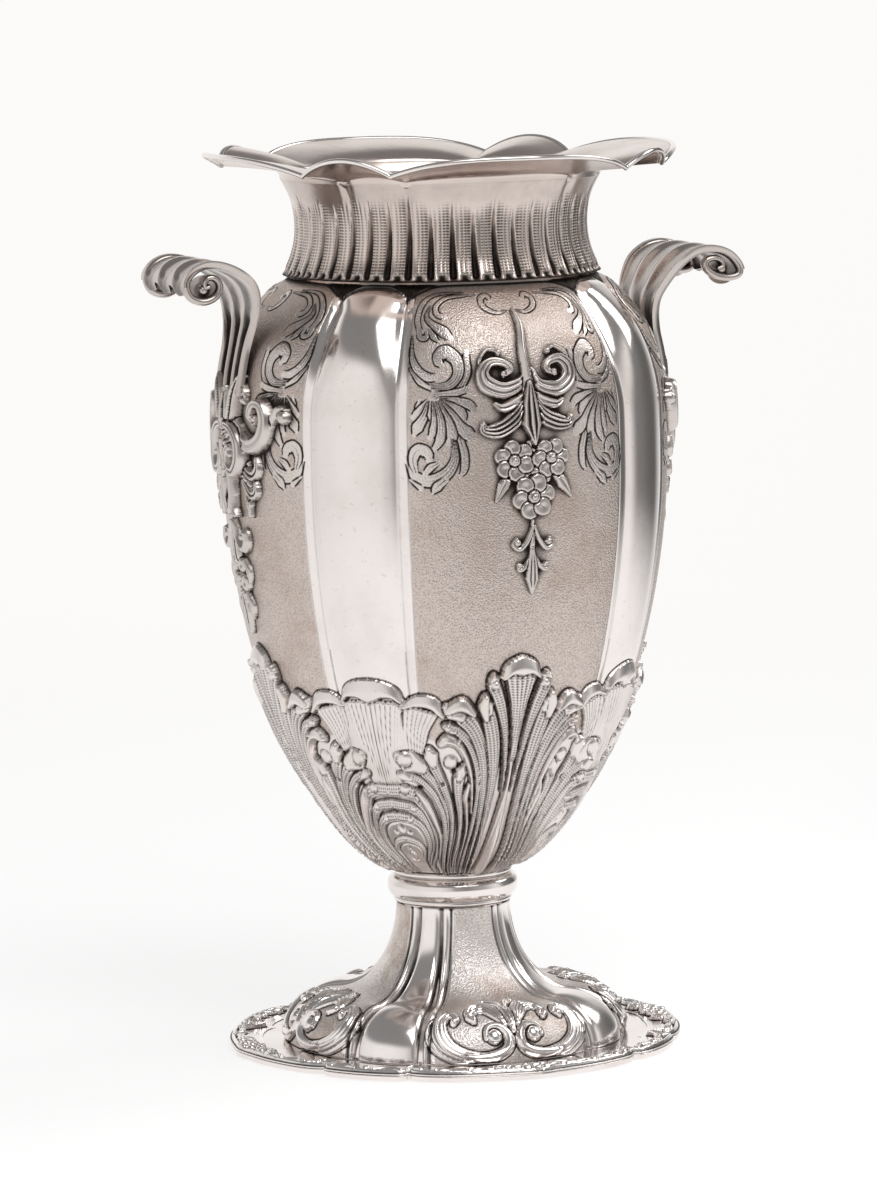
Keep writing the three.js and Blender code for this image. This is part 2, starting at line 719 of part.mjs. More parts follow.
// The handle's centre line in its own upright plane: up the shoulder, over in a quarter of an
// ellipse, and into a spiral roll
function handlePath(roll) {
  const lean = HANDLE_THICKNESS / 2 + SOLDER_GAP;
  const stem = (share) => {
    const z = mouthZ - STEM_BELOW_MOUTH + STEM_LENGTH * share;
    return [bodyCrest(z) + lean + STEM_STAND_OFF * share, z];
  };
  const [stemTopX, stemTopZ] = stem(1);
  const rollX = stem(0)[0] + roll.reach;
  const rollZ = mouthZ + roll.rise - ROLL_RADIUS;
  const points = [stem(0), stem(0.5)];
  const bendSteps = 5;
  for (let i = 0; i < bendSteps; i++) {
    const turned = (Math.PI / 2) * (i / bendSteps);
    const x = rollX - (rollX - stemTopX) * Math.cos(turned);
    points.push([x, stemTopZ + (rollZ + ROLL_RADIUS - stemTopZ) * Math.sin(turned)]);
  }
  const turnSteps = 14;
  for (let i = 0; i <= ROLL_TURNS * turnSteps; i++) {
    const turned = (2 * Math.PI * i) / turnSteps;
    const radius = ROLL_RADIUS - ROLL_PITCH * (i / turnSteps);
    points.push([rollX + roll.stretch * radius * Math.sin(turned), rollZ + radius * Math.cos(turned)]);
  }
  return new THREE.CatmullRomCurve3(points.map(([x, z]) => new THREE.Vector3(x, 0, z)));
}

// A corrugated band: its ridges run up the front of the stem and its hollows over the roll
function handle(side) {
  const path = handlePath(ROLLS[side]);
  const facing = side === "right" ? 1 : -1;
  const steps = 26;
  const ribs = [[-1, 1], [-0.67, 0], [-0.33, 1], [0, 0], [0.33, 1], [0.67, 0], [1, 1]];
  const rings = [];
  for (let i = 0; i <= steps; i++) {
    const t = i / steps;
    const at = path.getPoint(t);
    const along = path.getTangent(t);
    const out = new THREE.Vector3(along.z, 0, -along.x);
    const wide = lerp(HANDLE_STEM_WIDTH, HANDLE_ROLL_WIDTH, smoothstep(t, 0.1, 0.45)) / 2;
    const taper = lerp(1, 0.5, smoothstep(t, 0.5, 0.9));
    const half = (HANDLE_THICKNESS / 2) * taper;
    const place = ([across, up], face) => {
      const p = at.clone().addScaledVector(out, face * half + HANDLE_RIB * up * taper);
      return new THREE.Vector3(facing * p.x, across * wide, p.z);
    };
    const front = ribs.map((rib) => place(rib, 1));
    const back = ribs.map((rib) => place(rib, -1)).reverse();
    rings.push([...front, ...back]);
  }
  return loft(rings);
}

// The stud brazed under the body, with the washer and nut that draw the foot up to it
function studFlange() {
  const outline = [
    new THREE.Vector2(0, crownZ - STUD_BELOW_CROWN),
    new THREE.Vector2(STUD_RADIUS, crownZ - STUD_BELOW_CROWN),
    new THREE.Vector2(STUD_RADIUS, bodyZ - SOLDER_GAP - STUD_FLANGE_THICKNESS),
    new THREE.Vector2(STUD_FLANGE_RADIUS, bodyZ - SOLDER_GAP - STUD_FLANGE_THICKNESS),
    new THREE.Vector2(STUD_FLANGE_RADIUS, bodyZ - SOLDER_GAP),
    new THREE.Vector2(0, bodyZ - SOLDER_GAP),
  ];
  return upright(new THREE.LatheGeometry(outline, 24));
}

function upright(lathe) {
  lathe.rotateX(Math.PI / 2);
  return lathe;
}

function annulus(outer, inner, low, high, sides) {
  const outline = [[inner, low], [outer, low], [outer, high], [inner, high], [inner, low]];
  return upright(new THREE.LatheGeometry(outline.map(([r, z]) => new THREE.Vector2(r, z)), sides));
}

function washer() {
  const top = crownZ - SHEET - SOLDER_GAP;
  return annulus(WASHER_RADIUS, STUD_RADIUS + STUD_CLEARANCE, top - WASHER_THICKNESS, top, 24);
}

function nut() {
  const top = crownZ - SHEET - 2 * SOLDER_GAP - WASHER_THICKNESS;
  const bore = (STUD_RADIUS + STUD_CLEARANCE) / Math.cos(Math.PI / NUT_SIDES);
  return annulus(NUT_RADIUS, bore, top - NUT_THICKNESS, top, NUT_SIDES);
}

function silver(color, roughness) {
  return new THREE.MeshStandardMaterial({ color, roughness, metalness: 1 });
}

const POLISHED = silver(0xd9d3cd, 0.16);
const MATTED = silver(0xb5aba3, 0.38);
const CAST = silver(0xa79e97, 0.3);
const STEEL = silver(0x9a9a9c, 0.35);

const vase = new THREE.Group();

function add(name, geometry, material) {
  const mesh = new THREE.Mesh(geometry, material);
  mesh.name = name;
  vase.add(mesh);
}

add("body", body(), MATTED);
add("neck", neck(), POLISHED);
add("rim_wire", rimWire(), POLISHED);
add("knop_ring", knop(), POLISHED);
add("foot_dome", footDome(), POLISHED);
add("foot_plate", footPlate(), POLISHED);
add("foot_border", footBorder(), CAST);
add("foot_stud", studFlange(), STEEL);
add("foot_washer", washer(), STEEL);
add("foot_nut", nut(), STEEL);

for (const side of ["front", "back"]) {
  add("plaque_" + side, plaque(SIDES[side]), CAST);
  add("flower_cluster_" + side, flowerCluster(SIDES[side]), CAST);
  add("plaque_drop_" + side, drop(SIDES[side]), CAST);
}
for (const side of ["left", "right"]) {
  add("handle_" + side, handle(side), CAST);
  add("handle_mount_" + side, handleMount(SIDES[side]), CAST);
  add("handle_pendant_" + side, handlePendant(SIDES[side]), CAST);
}

export default vase;
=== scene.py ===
"""Looks of the two-handled silver vase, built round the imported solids.

Lengths are millimetres until a mesh is made. Angles are degrees from a broad panel's middle
unless a name says otherwise. The front faces -Y and the handles stand on +X and -X.
"""

import math

import bpy
import numpy as np
from mathutils import Matrix


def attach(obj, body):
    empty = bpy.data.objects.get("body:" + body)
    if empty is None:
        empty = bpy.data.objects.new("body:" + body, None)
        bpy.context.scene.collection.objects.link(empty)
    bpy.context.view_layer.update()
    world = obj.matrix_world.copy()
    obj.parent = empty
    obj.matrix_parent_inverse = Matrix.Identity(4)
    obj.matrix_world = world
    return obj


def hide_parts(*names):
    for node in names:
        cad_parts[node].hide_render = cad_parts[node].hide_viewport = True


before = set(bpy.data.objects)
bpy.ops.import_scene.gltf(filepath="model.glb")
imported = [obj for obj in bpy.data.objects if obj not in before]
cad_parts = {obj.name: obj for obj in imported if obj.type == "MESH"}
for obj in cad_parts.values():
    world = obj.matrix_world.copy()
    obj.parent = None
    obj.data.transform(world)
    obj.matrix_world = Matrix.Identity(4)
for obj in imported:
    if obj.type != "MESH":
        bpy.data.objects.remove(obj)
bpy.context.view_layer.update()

MM = 0.001
COARSE = 1

# Heights of the stack, as in the solids
BODY_Z = 80.4
BASE_TO_BELLY = 187.0
BELLY_Z = BODY_Z + BASE_TO_BELLY
BELLY_TO_MOUTH = 83.0
MOUTH_Z = BELLY_Z + BELLY_TO_MOUTH
NECK_Z = MOUTH_Z + 0.3
THROAT_Z = NECK_Z + 21.0
FLARE_Z = THROAT_Z + 22.0
RIM_Z = FLARE_Z + 8.2
DOME_BASE = 2.9
DOME_HEIGHT = 21.5
CROWN_HEIGHT = 40.0
CROWN_Z = DOME_BASE + DOME_HEIGHT + CROWN_HEIGHT
KNOP_Z = CROWN_Z + 0.3

# Radii
BODY_SEAT_RADIUS = 26.0
BELLY_RADIUS = 100.7
BODY_MOUTH_RADIUS = 70.0
THROAT_RADIUS = 65.3
NECK_SEAT_RADIUS = 71.5
FLARE_START_RADIUS = 72.0
PETAL_RADIUS = 104.6
CROWN_RADIUS = 25.6
WAIST_RADIUS = 54.0
DOME_RADIUS = 77.5
PLATE_RADIUS = 103.5
PLATE_HOLE_RADIUS = 71.0
PLATE_THICKNESS = 2.6

# Panels: half widths in degrees, depths of the grooves between them, and the sides' directions
BROAD_HALF = 33.0
NARROW_HALF = 12.0
HALF_QUARTER = 45.0
BELLY_GROOVE = 2.2
SHOULDER_GROOVE = 7.5
SIDES = {"right": 0.0, "back": 90.0, "left": 180.0, "front": 270.0}

# Curves of the outlines: exponents, and the shares of a height between which a groove grows
BELLY_FULLNESS = 1.87
BELLY_EASE = 0.63
SHOULDER_TURN = 3.9
BROAD_BOW = 4.5
NARROW_BOW = 2.6
SEAT_EASE = (0.02, 0.3)
SHOULDER_EASE = (0.3, 0.8)
MOUTH_EASE = (0.84, 1)

# Petals of the rim: how they rise, and how far their cusps lie inside their tips
PETAL_WAVE = 3.5
PETAL_CUSP = 5.0
NARROW_PETAL_INSET = 2.0

# Scallops of the foot's plate
SCALLOP_DEPTH = 3.0
CENTRE_POINT = 0.4
CENTRE_POINT_WIDTH = 0.16

# The engraved upper body: the matted panel's edge, the lobed collar under the neck, the painted shadow and dirt round
# the castings
STRIP_EDGE = 30.1
STRIP_RISE = 0.1
EDGE_LINE = (0.45, 0.22)
PANEL_GROOVE = (0.7, 0.35)
UPPER_DEGREE = 1.75
CALYX_DEGREE = 1.6
CUSP_DROP = 9.0
LOBE_RISE = 1.2
HALO_REACH = 2.1
FOLIAGE_FROM = 11.0
FOLIAGE_TO = 31.0
FOLIAGE_BASE = 257.0
FOLIAGE_CELL = 0.26 * COARSE
DRAWN_WIDTH = 60.0

# The chased leaves end at this height, and their drawing is laid out at this radius
CALYX_TOP = 191.5
CALYX_OVERLAP = 2.0
CALYX_CELL = 0.47 * COARSE
DRAWING_RADIUS = 86.0

# Leaves drawn from below this height run on to the seat, and their crests keep to the outline
LEAF_ROOTS = 90.0
CALYX_SINK = 2.2

# How much wider a leaf of the calyx is drawn at its tip
TIP_SWELL = 1.18

# Leaves of this many ribs, with tips between these degrees, get a smooth head
RIBBED = 3
HEADS_FROM = 3.0
HEADS_TO = 40.0

# The drawings on the body count their heights from this much above the standing surface
DRAWING_RISE = 1.6
CASTINGS_BELOW_MOUTH = 5.0

# Castings: the plaque's lean off the middle of its panel, in degrees, and the raised cells
PLAQUE_LEAN = 1.5
CAST_CELL = 0.3 * COARSE
CAST_EDGE = 0.12
SUNK = 0.4

# Strokes: the cut outside a raised edge, and the width and depth of details that gather dirt
CUT_REACH = 0.45
FINE_REACH = 0.55
FINE_SCALE = 0.22

# Neck: places and tops of the flutes, in degrees and mm, then their size and the sheet
FLUTES = [0.0, 8.25, 16.5, 24.75, 33.0, 41.0, 49.0]
FLUTE_TOPS = [37.5, 33.0, 37.0, 34.0, 40.0, 36.5, 38.5]
FLUTE_HALF_WIDTH = 1.6
FLUTE_DEPTH = 1.9
FLUTE_SPACING = 9.6
BEAD_COLUMNS = 5
FLUTED_HEIGHT = 33.0
NECK_CREASE = 0.9
NECK_THICKNESS = 2.6
LINING_DEPTH = 3.2

# Rim wire: half sizes of its section, and its middle beyond and above the petals' edge
WIRE_SIZE = (1.35, 1.2)
WIRE_OFFSET = (1.5, 0.5)

# Knop: radius and height above its base, then dirt along that outline
KNOP_OUTLINE = [
    (22, 0), (25.4, 0), (26.5, 0.3), (27, 1.0), (26.9, 1.8), (26.9, 2.3), (28, 3.0), (29.1, 4.6), (29.6, 6.4),
    (29.7, 8.0), (29.4, 9.7), (28.5, 11.2), (27.2, 12.1), (26.4, 12.5), (26.2, 12.9), (26.9, 13.2),
    (27.2, 13.9), (27, 14.7), (26.2, 15.3), (22, 15.4),
]
KNOP_DIRT = [0.9, 0.9, 0.6, 0.1, 0.1, 0.7, 0.2, 0, 0, 0, 0, 0, 0.05, 0.4, 0.5, 0.3, 0, 0, 0.2, 0.5]

# Foot: its cells, the lobes' depth, and the grooves and ribs beside a narrow panel by distance
FOOT_CELL = 0.4 * COARSE
BORDER_CELL = 0.35 * COARSE
BORDER_DEPTH = 15.0
LOBE_DEPTH = 2.4
GROOVE_WIDTH = 1.05
RIB_OFFSET = 2.4
SECOND_OFFSET = 4.3
DOME_SHEET = (2.6, 2.0)

# Handles: outlines from the body to the eye of the roll, as x and height
LEFT_OUTLINE = [
    (-100.6, 300), (-98.9, 311), (-96.4, 323), (-94.6, 333), (-94.5, 342), (-97.6, 350.6), (-104.0, 356.8),
    (-112.6, 360.9), (-120.6, 361.8), (-127.2, 359.4), (-131.6, 354.6), (-132.2, 349.6), (-130.0, 345.0),
    (-125.6, 342.6), (-120.6, 342.4), (-115.8, 344.8), (-113.4, 349.2), (-114.4, 353.4), (-117.8, 355.8),
    (-121.6, 355.2), (-123.6, 351.8), (-122.2, 348.9), (-119.6, 349.2),
]
RIGHT_OUTLINE = [
    (100.6, 300), (98.8, 311), (96.4, 322), (94.9, 331), (95.3, 338), (98.5, 345.6), (103.5, 352.6),
    (110.4, 357.6), (117.4, 359.4), (124.4, 358.6), (130.4, 355.6), (134.6, 350.6), (135.6, 346.2),
    (133.0, 343.3), (127.0, 342.5), (121.0, 343.8), (116.4, 347.2), (115.2, 351.2), (117.6, 354.2),
    (122.4, 354.6), (126.2, 352.2), (126.4, 348.8), (123.2, 347.2),
]
HANDLE_STEM_WIDTH = 29.0
HANDLE_ROLL_WIDTH = 60.0
HANDLE_RIDGES = 3
BAND_THICKNESS = 3.4
BAND_END = 0.66
EYE_FROM = 0.62
EYE_SIZE = (7.4, 6.8)
EYE_INSET = 2.6

# Colours
SILVER = (0.87, 0.815, 0.79, 1)
WORKED_SILVER = (0.80, 0.745, 0.715, 1)
MATTED_SILVER = (0.66, 0.575, 0.53, 1)
TARNISHED_GROUND = (0.58, 0.475, 0.415, 1)
# The foot's matted ground, lighter than the body's: painted light for the brighter surroundings that its upward faces
# reflect
LIT_FOOT_GROUND = (0.88, 0.82, 0.79, 1)
TARNISH = (0.56, 0.46, 0.40, 1)
# Darkest colour, laid by the cavity field: patina in hollows, plus painted shade and shadow where that field carries
# them
PATINA_AND_SHADE = (0.030, 0.024, 0.021, 1)
# Colour between punched beads: patina plus painted shade
BEAD_PATINA_AND_SHADE = (0.09, 0.075, 0.068, 1)
GREY_PATINA = (0.20, 0.175, 0.16, 1)

# Distance from one punched bead to the next, in mm
BEAD_PITCH = 1.3

# Scales of the textures, in cells a metre, and the height of the bump in metres
CLOUDS = 28
SPOTS = 420
MATTING = 1250
GRIT = 1000
DIRT = 160
WAVES = 60
BUMP_HEIGHT = 0.00012

# Camera, in metres
CAMERA_AZIMUTH = math.radians(-20.8)
CAMERA_DISTANCE = 2.75
CAMERA_HEIGHT = 0.544
CAMERA_AIM_HEIGHT = 0.2016
CAMERA_AIM_LEFT = 0.0041
CAMERA_ROLL = math.radians(1.04)
CAMERA_LENS = 183.5

# Brightness round the vase, by degrees from the camera, and overhead
ROUND_LIGHT = [
    (-180, 0.97), (-140, 0.95), (-110, 0.75), (-80, 0.85), (-50, 0.92), (-20, 0.88), (-8, 0.7), (6, 0.34), (25, 0.27),
    (52, 0.4), (86, 0.85), (104, 0.22), (136, 0.12), (152, 0.6), (166, 0.96), (180, 0.97),
]
WARMTH = (1, 0.99, 0.975)
CEILING = 0.24

# Floor: its rings, in metres, and the distances over which its light passes into the room's
FLOOR_RINGS = [0.6, 3.0, 30.0]
FLOOR_SINK = 0.0005
FLOOR_COLOUR = 0.5
NEAR_GLOW = 0.65
NEAR_FLOOR = 0.4
FAR_FLOOR = 1.7

# Lamps: azimuth from the camera, elevation, distance, size and power
LAMPS = {
    "key": (30, 55, 2.2, (1.5, 1.5), 19),
    "fill": (114, 40, 2.4, (1.0, 1.4), 14),
}
LAMPS_AIM = 0.2

# Engraved leaves: degrees and heights along the middle, half widths, veins
LEAVES = [
    ([(1.3, 337), (4.7, 336.2), (8, 338.6), (8.6, 342), (6.6, 343.4), (5.4, 341.6)], [0.5, 1.1, 1.6, 1.7, 1.7, 1.3], 1),
    ([(10, 343.7), (15, 343.4), (20, 342.4), (22.8, 339.2), (22.4, 336), (20.4, 335)],
     [0.4, 0.9, 1.2, 1.5, 1.6, 1.6], 1),
    ([(14, 345), (23, 344.2), (27, 340.4), (28.4, 334), (27.4, 329)], [0.6, 1.3, 1.6, 1.6, 1.5], 2),
    ([(27.8, 329.6), (27.2, 326.4), (25.4, 326.6), (25.4, 329.2)], [1.1, 1.5, 1.5, 1.1], 0),
    ([(24.6, 339.6), (25.6, 335), (23.8, 332), (20.6, 328.8), (18.8, 326)], [0.6, 1.3, 1.8, 2.9, 1.7], 2),
    ([(24.8, 330), (23.4, 326.8), (22, 324.6)], [0.8, 1.7, 0.6], 1),
    ([(29.6, 327), (29.4, 319), (27.6, 312.8), (25, 309.8), (22.9, 309.6)], [0.5, 1.4, 2.1, 2.1, 1.7], 2),
    ([(30, 313.6), (27, 307.8), (23.6, 304.4)], [0.5, 1.5, 0.9], 1),
    ([(21, 302.4), (16.9, 304.8), (14.8, 311), (14.8, 317), (14.7, 320.2)], [0.7, 1.4, 1.8, 1.7, 1.5], 2),
    ([(24, 305.6), (19.4, 306.4), (17.1, 311), (17.5, 317), (20.4, 320.4), (22.3, 317.2), (21.2, 314.6)],
     [1.0, 2.0, 2.5, 3.0, 3.5, 2.7, 1.3], 3),
    ([(23.5, 302.4), (18, 303), (15, 304.4)], [0.8, 1.7, 1.5], 1),
    ([(22.6, 301), (18, 299.6), (14.6, 297.8), (13.2, 295.2)], [0.7, 1.7, 2.2, 1.6], 2),
    ([(22, 300.4), (18.6, 297.2), (16.4, 294.2), (16.2, 291.4)], [0.7, 1.5, 2.3, 1.6], 2),
    ([(17.8, 288), (16, 277), (16, 270), (16.8, 267.2)], [1.2, 1.9, 1.8, 1.0], 1),
    ([(22, 299.8), (19, 294), (16.8, 288), (14.9, 285), (13.9, 283.4)], [0.7, 1.6, 2.6, 3.2, 2.0], 2),
    ([(22.4, 299.4), (19.6, 290), (18.9, 284.4), (19.4, 281.4)], [0.8, 1.9, 2.6, 1.8], 2),
    ([(27, 300), (27.4, 297), (27.7, 295.4)], [0.8, 1.5, 1.0], 0),
    ([(24.6, 300.4), (26.4, 296.6), (27.8, 293.6), (28.6, 292.4)], [0.7, 1.7, 2.2, 1.4], 1),
    ([(24.6, 299.6), (25.8, 293), (27.6, 288), (28.4, 285)], [0.7, 1.9, 2.8, 1.2], 2),
    ([(24, 299.6), (24.2, 293), (24, 291.6)], [0.8, 1.7, 1.2], 1),
    ([(23.4, 299.4), (23, 292), (23.4, 287), (24.4, 283.4)], [0.8, 1.9, 2.3, 1.2], 2),
    ([(22.9, 299.2), (21.6, 290), (21.9, 283), (23.4, 278.6)], [0.8, 1.8, 2.3, 1.3], 2),
    ([(18.7, 283), (18.4, 274), (20.6, 267.6), (24.8, 264.6), (28.4, 266.8), (29.9, 272.4)],
     [0.8, 2.0, 2.8, 2.9, 2.4, 1.6], 3),
    ([(28.2, 268.6), (28.9, 274), (27.6, 278.2), (25.2, 277), (24.6, 273.4)], [1.2, 2.4, 2.9, 2.6, 1.5], 1),
    ([(22.4, 272.4), (24.4, 270.6), (25.8, 267.8)], [0.8, 1.9, 1.3], 1),
    ([(20.8, 265), (23, 261.8), (24, 259.4)], [1.5, 2.4, 0.8], 1),
    ([(29.6, 265), (27, 261.6)], [0.6, 1.4], 0),
]

# Lines cut in an engraved leaf: half widths along them, depth and darkness
LEAF_EDGE = ([0.2, 0.5, 0.52, 0.44], 0.14, 1.0)
LEAF_VEIN = ([0.34, 0.32, 0.1], 0.1, 0.8)
VEIN_LENGTH = 0.84


def smoothstep(x, low, high):
    t = np.clip((np.asarray(x, float) - low) / (high - low), 0, 1)
    return t * t * (3 - 2 * t)


def hump(distance, width):
    """A bell round distance 0."""
    return np.exp(-((distance / width) ** 2))


def mix(a, b, t):
    return a + (b - a) * t


def fine(count):
    return count // COARSE


def across_panel(degrees):
    """Whether the angle lies on a broad panel, and its share of the way to the groove beside it."""
    off = np.abs((np.asarray(degrees, float) + 45) % 90 - 45)
    broad = off <= BROAD_HALF
    share = np.where(broad, off / BROAD_HALF, (HALF_QUARTER - off) / NARROW_HALF)
    return broad, share


# Outlines of the vase


def body_crest(z):
    z = np.asarray(z, float)
    low = np.clip((z - BODY_Z) / BASE_TO_BELLY, 0, 1)
    rise = (1 - (1 - low) ** BELLY_FULLNESS) ** BELLY_EASE
    high = np.clip((z - BELLY_Z) / BELLY_TO_MOUTH, 0, 1)
    below = BODY_SEAT_RADIUS + (BELLY_RADIUS - BODY_SEAT_RADIUS) * rise
    above = BELLY_RADIUS - (BELLY_RADIUS - BODY_MOUTH_RADIUS) * high**SHOULDER_TURN
    return np.where(z <= BELLY_Z, below, above)


def body_groove(z):
    low = smoothstep((z - BODY_Z) / BASE_TO_BELLY, *SEAT_EASE)
    high = (z - BELLY_Z) / BELLY_TO_MOUTH
    mouth = 1 - smoothstep(high, *MOUTH_EASE)
    shoulder = smoothstep(high, *SHOULDER_EASE) * mouth
    return BELLY_GROOVE * low * mouth + (SHOULDER_GROOVE - BELLY_GROOVE) * shoulder


def body_radius(degrees, z):
    broad, share = across_panel(degrees)
    return body_crest(z) - body_groove(z) * share ** np.where(broad, BROAD_BOW, NARROW_BOW)


def neck_radius(z):
    low = np.clip((THROAT_Z - z) / (THROAT_Z - NECK_Z), 0, 1)
    high = np.clip((z - THROAT_Z) / (FLARE_Z - THROAT_Z), 0, 1)
    below = (NECK_SEAT_RADIUS - THROAT_RADIUS) * low**2
    return THROAT_RADIUS + below + (FLARE_START_RADIUS - THROAT_RADIUS) * high**2


def petal_edge(degrees):
    broad, share = across_panel(degrees)
    fall = share ** np.where(broad, 3, 2)
    radius = PETAL_RADIUS - PETAL_CUSP * fall - np.where(broad, 0, NARROW_PETAL_INSET * (1 - share))
    return radius, RIM_Z + PETAL_WAVE * (1 - 2 * fall)


def foot_point(turn):
    """The pedestal's outline by turn: 0 at the crown, 1 at the waist, 2 at the dome's foot."""
    t = np.clip(turn, 0, 1) * math.pi / 2
    s = np.clip(turn - 1, 0, 1) * math.pi / 2
    upper_r = WAIST_RADIUS - (WAIST_RADIUS - CROWN_RADIUS) * np.cos(t)
    lower_r = WAIST_RADIUS + (DOME_RADIUS - WAIST_RADIUS) * np.sin(s)
    upper_z = CROWN_Z - CROWN_HEIGHT * np.sin(t)
    lower_z = DOME_BASE + DOME_HEIGHT * np.cos(s)
    return np.where(turn <= 1, upper_r, lower_r), np.where(turn <= 1, upper_z, lower_z)


def plate_edge(degrees):
    broad, share = across_panel(degrees)
    bow = np.where(broad, 1 - 0.6 * share**2, 0.45 + 0.35 * (1 - share**2))
    centre = np.where(broad, hump(share, CENTRE_POINT_WIDTH), 0)
    return PLATE_RADIUS - SCALLOP_DEPTH * (1 - bow + share**14 - CENTRE_POINT * centre)


# Drawing of relief on a plane


def distance_along(*coordinates):
    """How far along a line each of its points lies."""
    return np.concatenate([[0], np.cumsum(np.hypot(*(np.diff(values) for values in coordinates)))])


def tangents(path):
    tangent = np.gradient(path, axis=0)
    return tangent / (np.linalg.norm(tangent, axis=1)[:, None] + 1e-9)


def sideways(path):
    """Unit steps to the left of a path."""
    tangent = tangents(path)
    return np.stack([-tangent[:, 1], tangent[:, 0]], 1)


def smooth_path(points, spacing=0.5):
    """A Catmull-Rom curve through the points, sampled about every spacing, with its own 0..1."""
    p = np.asarray(points, float)
    if len(p) == 2:
        p = np.array([p[0], (p[0] + p[1]) / 2, p[1]])
    padded = np.vstack([2 * p[0] - p[1], p, 2 * p[-1] - p[-2]])
    out = []
    where = []
    for i in range(len(p) - 1):
        a, b, c, d = padded[i : i + 4]
        n = max(2, int(np.linalg.norm(c - b) / spacing))
        t = np.arange(n)[:, None] / n
        bend = (2 * a - 5 * b + 4 * c - d) * t**2 + (3 * b - a - 3 * c + d) * t**3
        out.append(0.5 * (2 * b + (c - a) * t + bend))
        where.append((i + t[:, 0]) / (len(p) - 1))
    out.append(p[-1:])
    where.append([1.0])
    return np.vstack(out), np.concatenate(where)


def along(values, t):
    """Values spread evenly over 0..1, read at t."""
    return np.interp(t, np.linspace(0, 1, len(values)), values)


def blur(h, cells):
    """Gaussian blur of a height field, its edges held."""
    reach = max(1, int(round(3 * cells)))
    weights = np.exp(-0.5 * (np.arange(-reach, reach + 1) / cells) ** 2)
    weights /= weights.sum()
    for axis in (0, 1):
        wide = np.pad(h, [(reach, reach) if a == axis else (0, 0) for a in (0, 1)], mode="reflect")
        n = h.shape[axis]
        h = sum(w * np.take(wide, range(k, k + n), axis=axis) for k, w in enumerate(weights))
    return h


